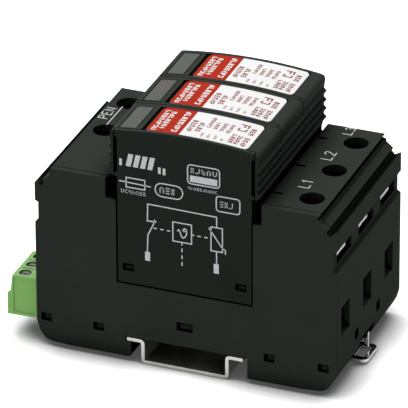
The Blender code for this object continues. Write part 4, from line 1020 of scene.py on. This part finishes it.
# %% Floor
FLOOR_HALF = 6.0
FLOOR_DROP = 0.2
PAPER_SCALE = 900.0
PAPER_WHITES = ((0.92, 0.92, 0.92), (0.96, 0.96, 0.96))
CONTACT_REACH = 11.0
CONTACT_SAMPLES = 16
CONTACT_RANGE = (0.38, 0.96)
CONTACT_LEAST = 0.1
FLOOR_GLOW = 0.62


def seen_rays(mat):
    """1 for what the camera, a mirror or glass sees, and 0 for light that is thrown."""
    rays = add(mat, "ShaderNodeLightPath").outputs
    seen = maths(mat, "MAXIMUM", rays["Is Camera Ray"], rays["Is Glossy Ray"])
    return maths(mat, "MAXIMUM", seen, rays["Is Transmission Ray"])


mat, shader = new_material("floor_paper")
paper = noise(mat, object_place(mat), PAPER_SCALE, rough=0.5)
# Painted shadow near the device, from the sheet's own ambient occlusion.
near = add(mat, "ShaderNodeAmbientOcclusion", {"Distance": CONTACT_REACH * MM},
           samples=CONTACT_SAMPLES)
painted_contact_shadow = remap(mat, near.outputs["AO"], *CONTACT_RANGE, CONTACT_LEAST)
paper_white = blend_colours(mat, paper, *PAPER_WHITES)
glow = maths(mat, "MULTIPLY", seen_rays(mat), painted_contact_shadow)
connect(mat, shader, {
    "Base Color": blend_colours(mat, painted_contact_shadow, (0.0, 0.0, 0.0), paper_white),
    "Emission Strength": maths(mat, "MULTIPLY", glow, FLOOR_GLOW),
}, {"Roughness": 0.9, "Specular IOR Level": 0.1, "Emission Color": (1.0, 1.0, 1.0, 1.0)})
build = bmesh.new()
bmesh.ops.create_grid(build, x_segments=8, y_segments=8, size=FLOOR_HALF)
floor = new_object("floor", build, (mat,))
floor.location = (0.0, 0.0, -FLOOR_DROP * MM)
print("Floor width in m:", 2 * FLOOR_HALF)

# %% [markdown]
# ## Light
#
# One large soft lamp hangs nearly overhead, a weak one stands in front on the left, and
# a pale sky does the rest. The sky is white for the camera, in mirrors and through
# glass, and much dimmer for the light that it throws.

# %% Sky
SKY_TINT = (0.97, 0.99, 1.0, 1.0)
SKY_LIGHT = 0.24

world = bpy.data.worlds.new("sky")
world.use_nodes = True
world.node_tree.nodes.clear()
scene.world = world
thrown = add(world, "ShaderNodeBackground", {"Color": SKY_TINT, "Strength": SKY_LIGHT})
white = add(world, "ShaderNodeBackground", {"Color": (1.0, 1.0, 1.0, 1.0), "Strength": 1.0})
sky = add(world, "ShaderNodeMixShader",
          {0: seen_rays(world), 1: thrown.outputs[0], 2: white.outputs[0]})
add(world, "ShaderNodeOutputWorld", {"Surface": sky.outputs[0]})
print("Sky made in", len(world.node_tree.nodes), "nodes")

# %% [markdown]
# A lamp is written as its place, the point that it looks at, its two sides in metres and
# its power in watts. The big one is turned down until the white of the labels keeps its
# tone.

# %% Lamps
LAMPS = (
    ("key_lamp", (-0.2, 0.1, 1.5), (-0.2, 0.1, 0.0), (1.7, 2.3), 31.0),
    ("front_lamp", (-0.5, -1.3, 0.7), (0.0, 0.0, 0.03), (0.8, 0.8), 3.1),
)

for name, place, target, sides, power in LAMPS:
    data = bpy.data.lights.new(name, "AREA")
    data.shape = "RECTANGLE"
    data.size, data.size_y = sides
    data.energy = power
    lamp = bpy.data.objects.new(name, data)
    lamp.location = place
    way = Vector(target) - Vector(place)
    lamp.rotation_euler = way.to_track_quat("-Z", "Y").to_euler()
    scene.collection.objects.link(lamp)

scene.view_settings.view_transform = "Standard"
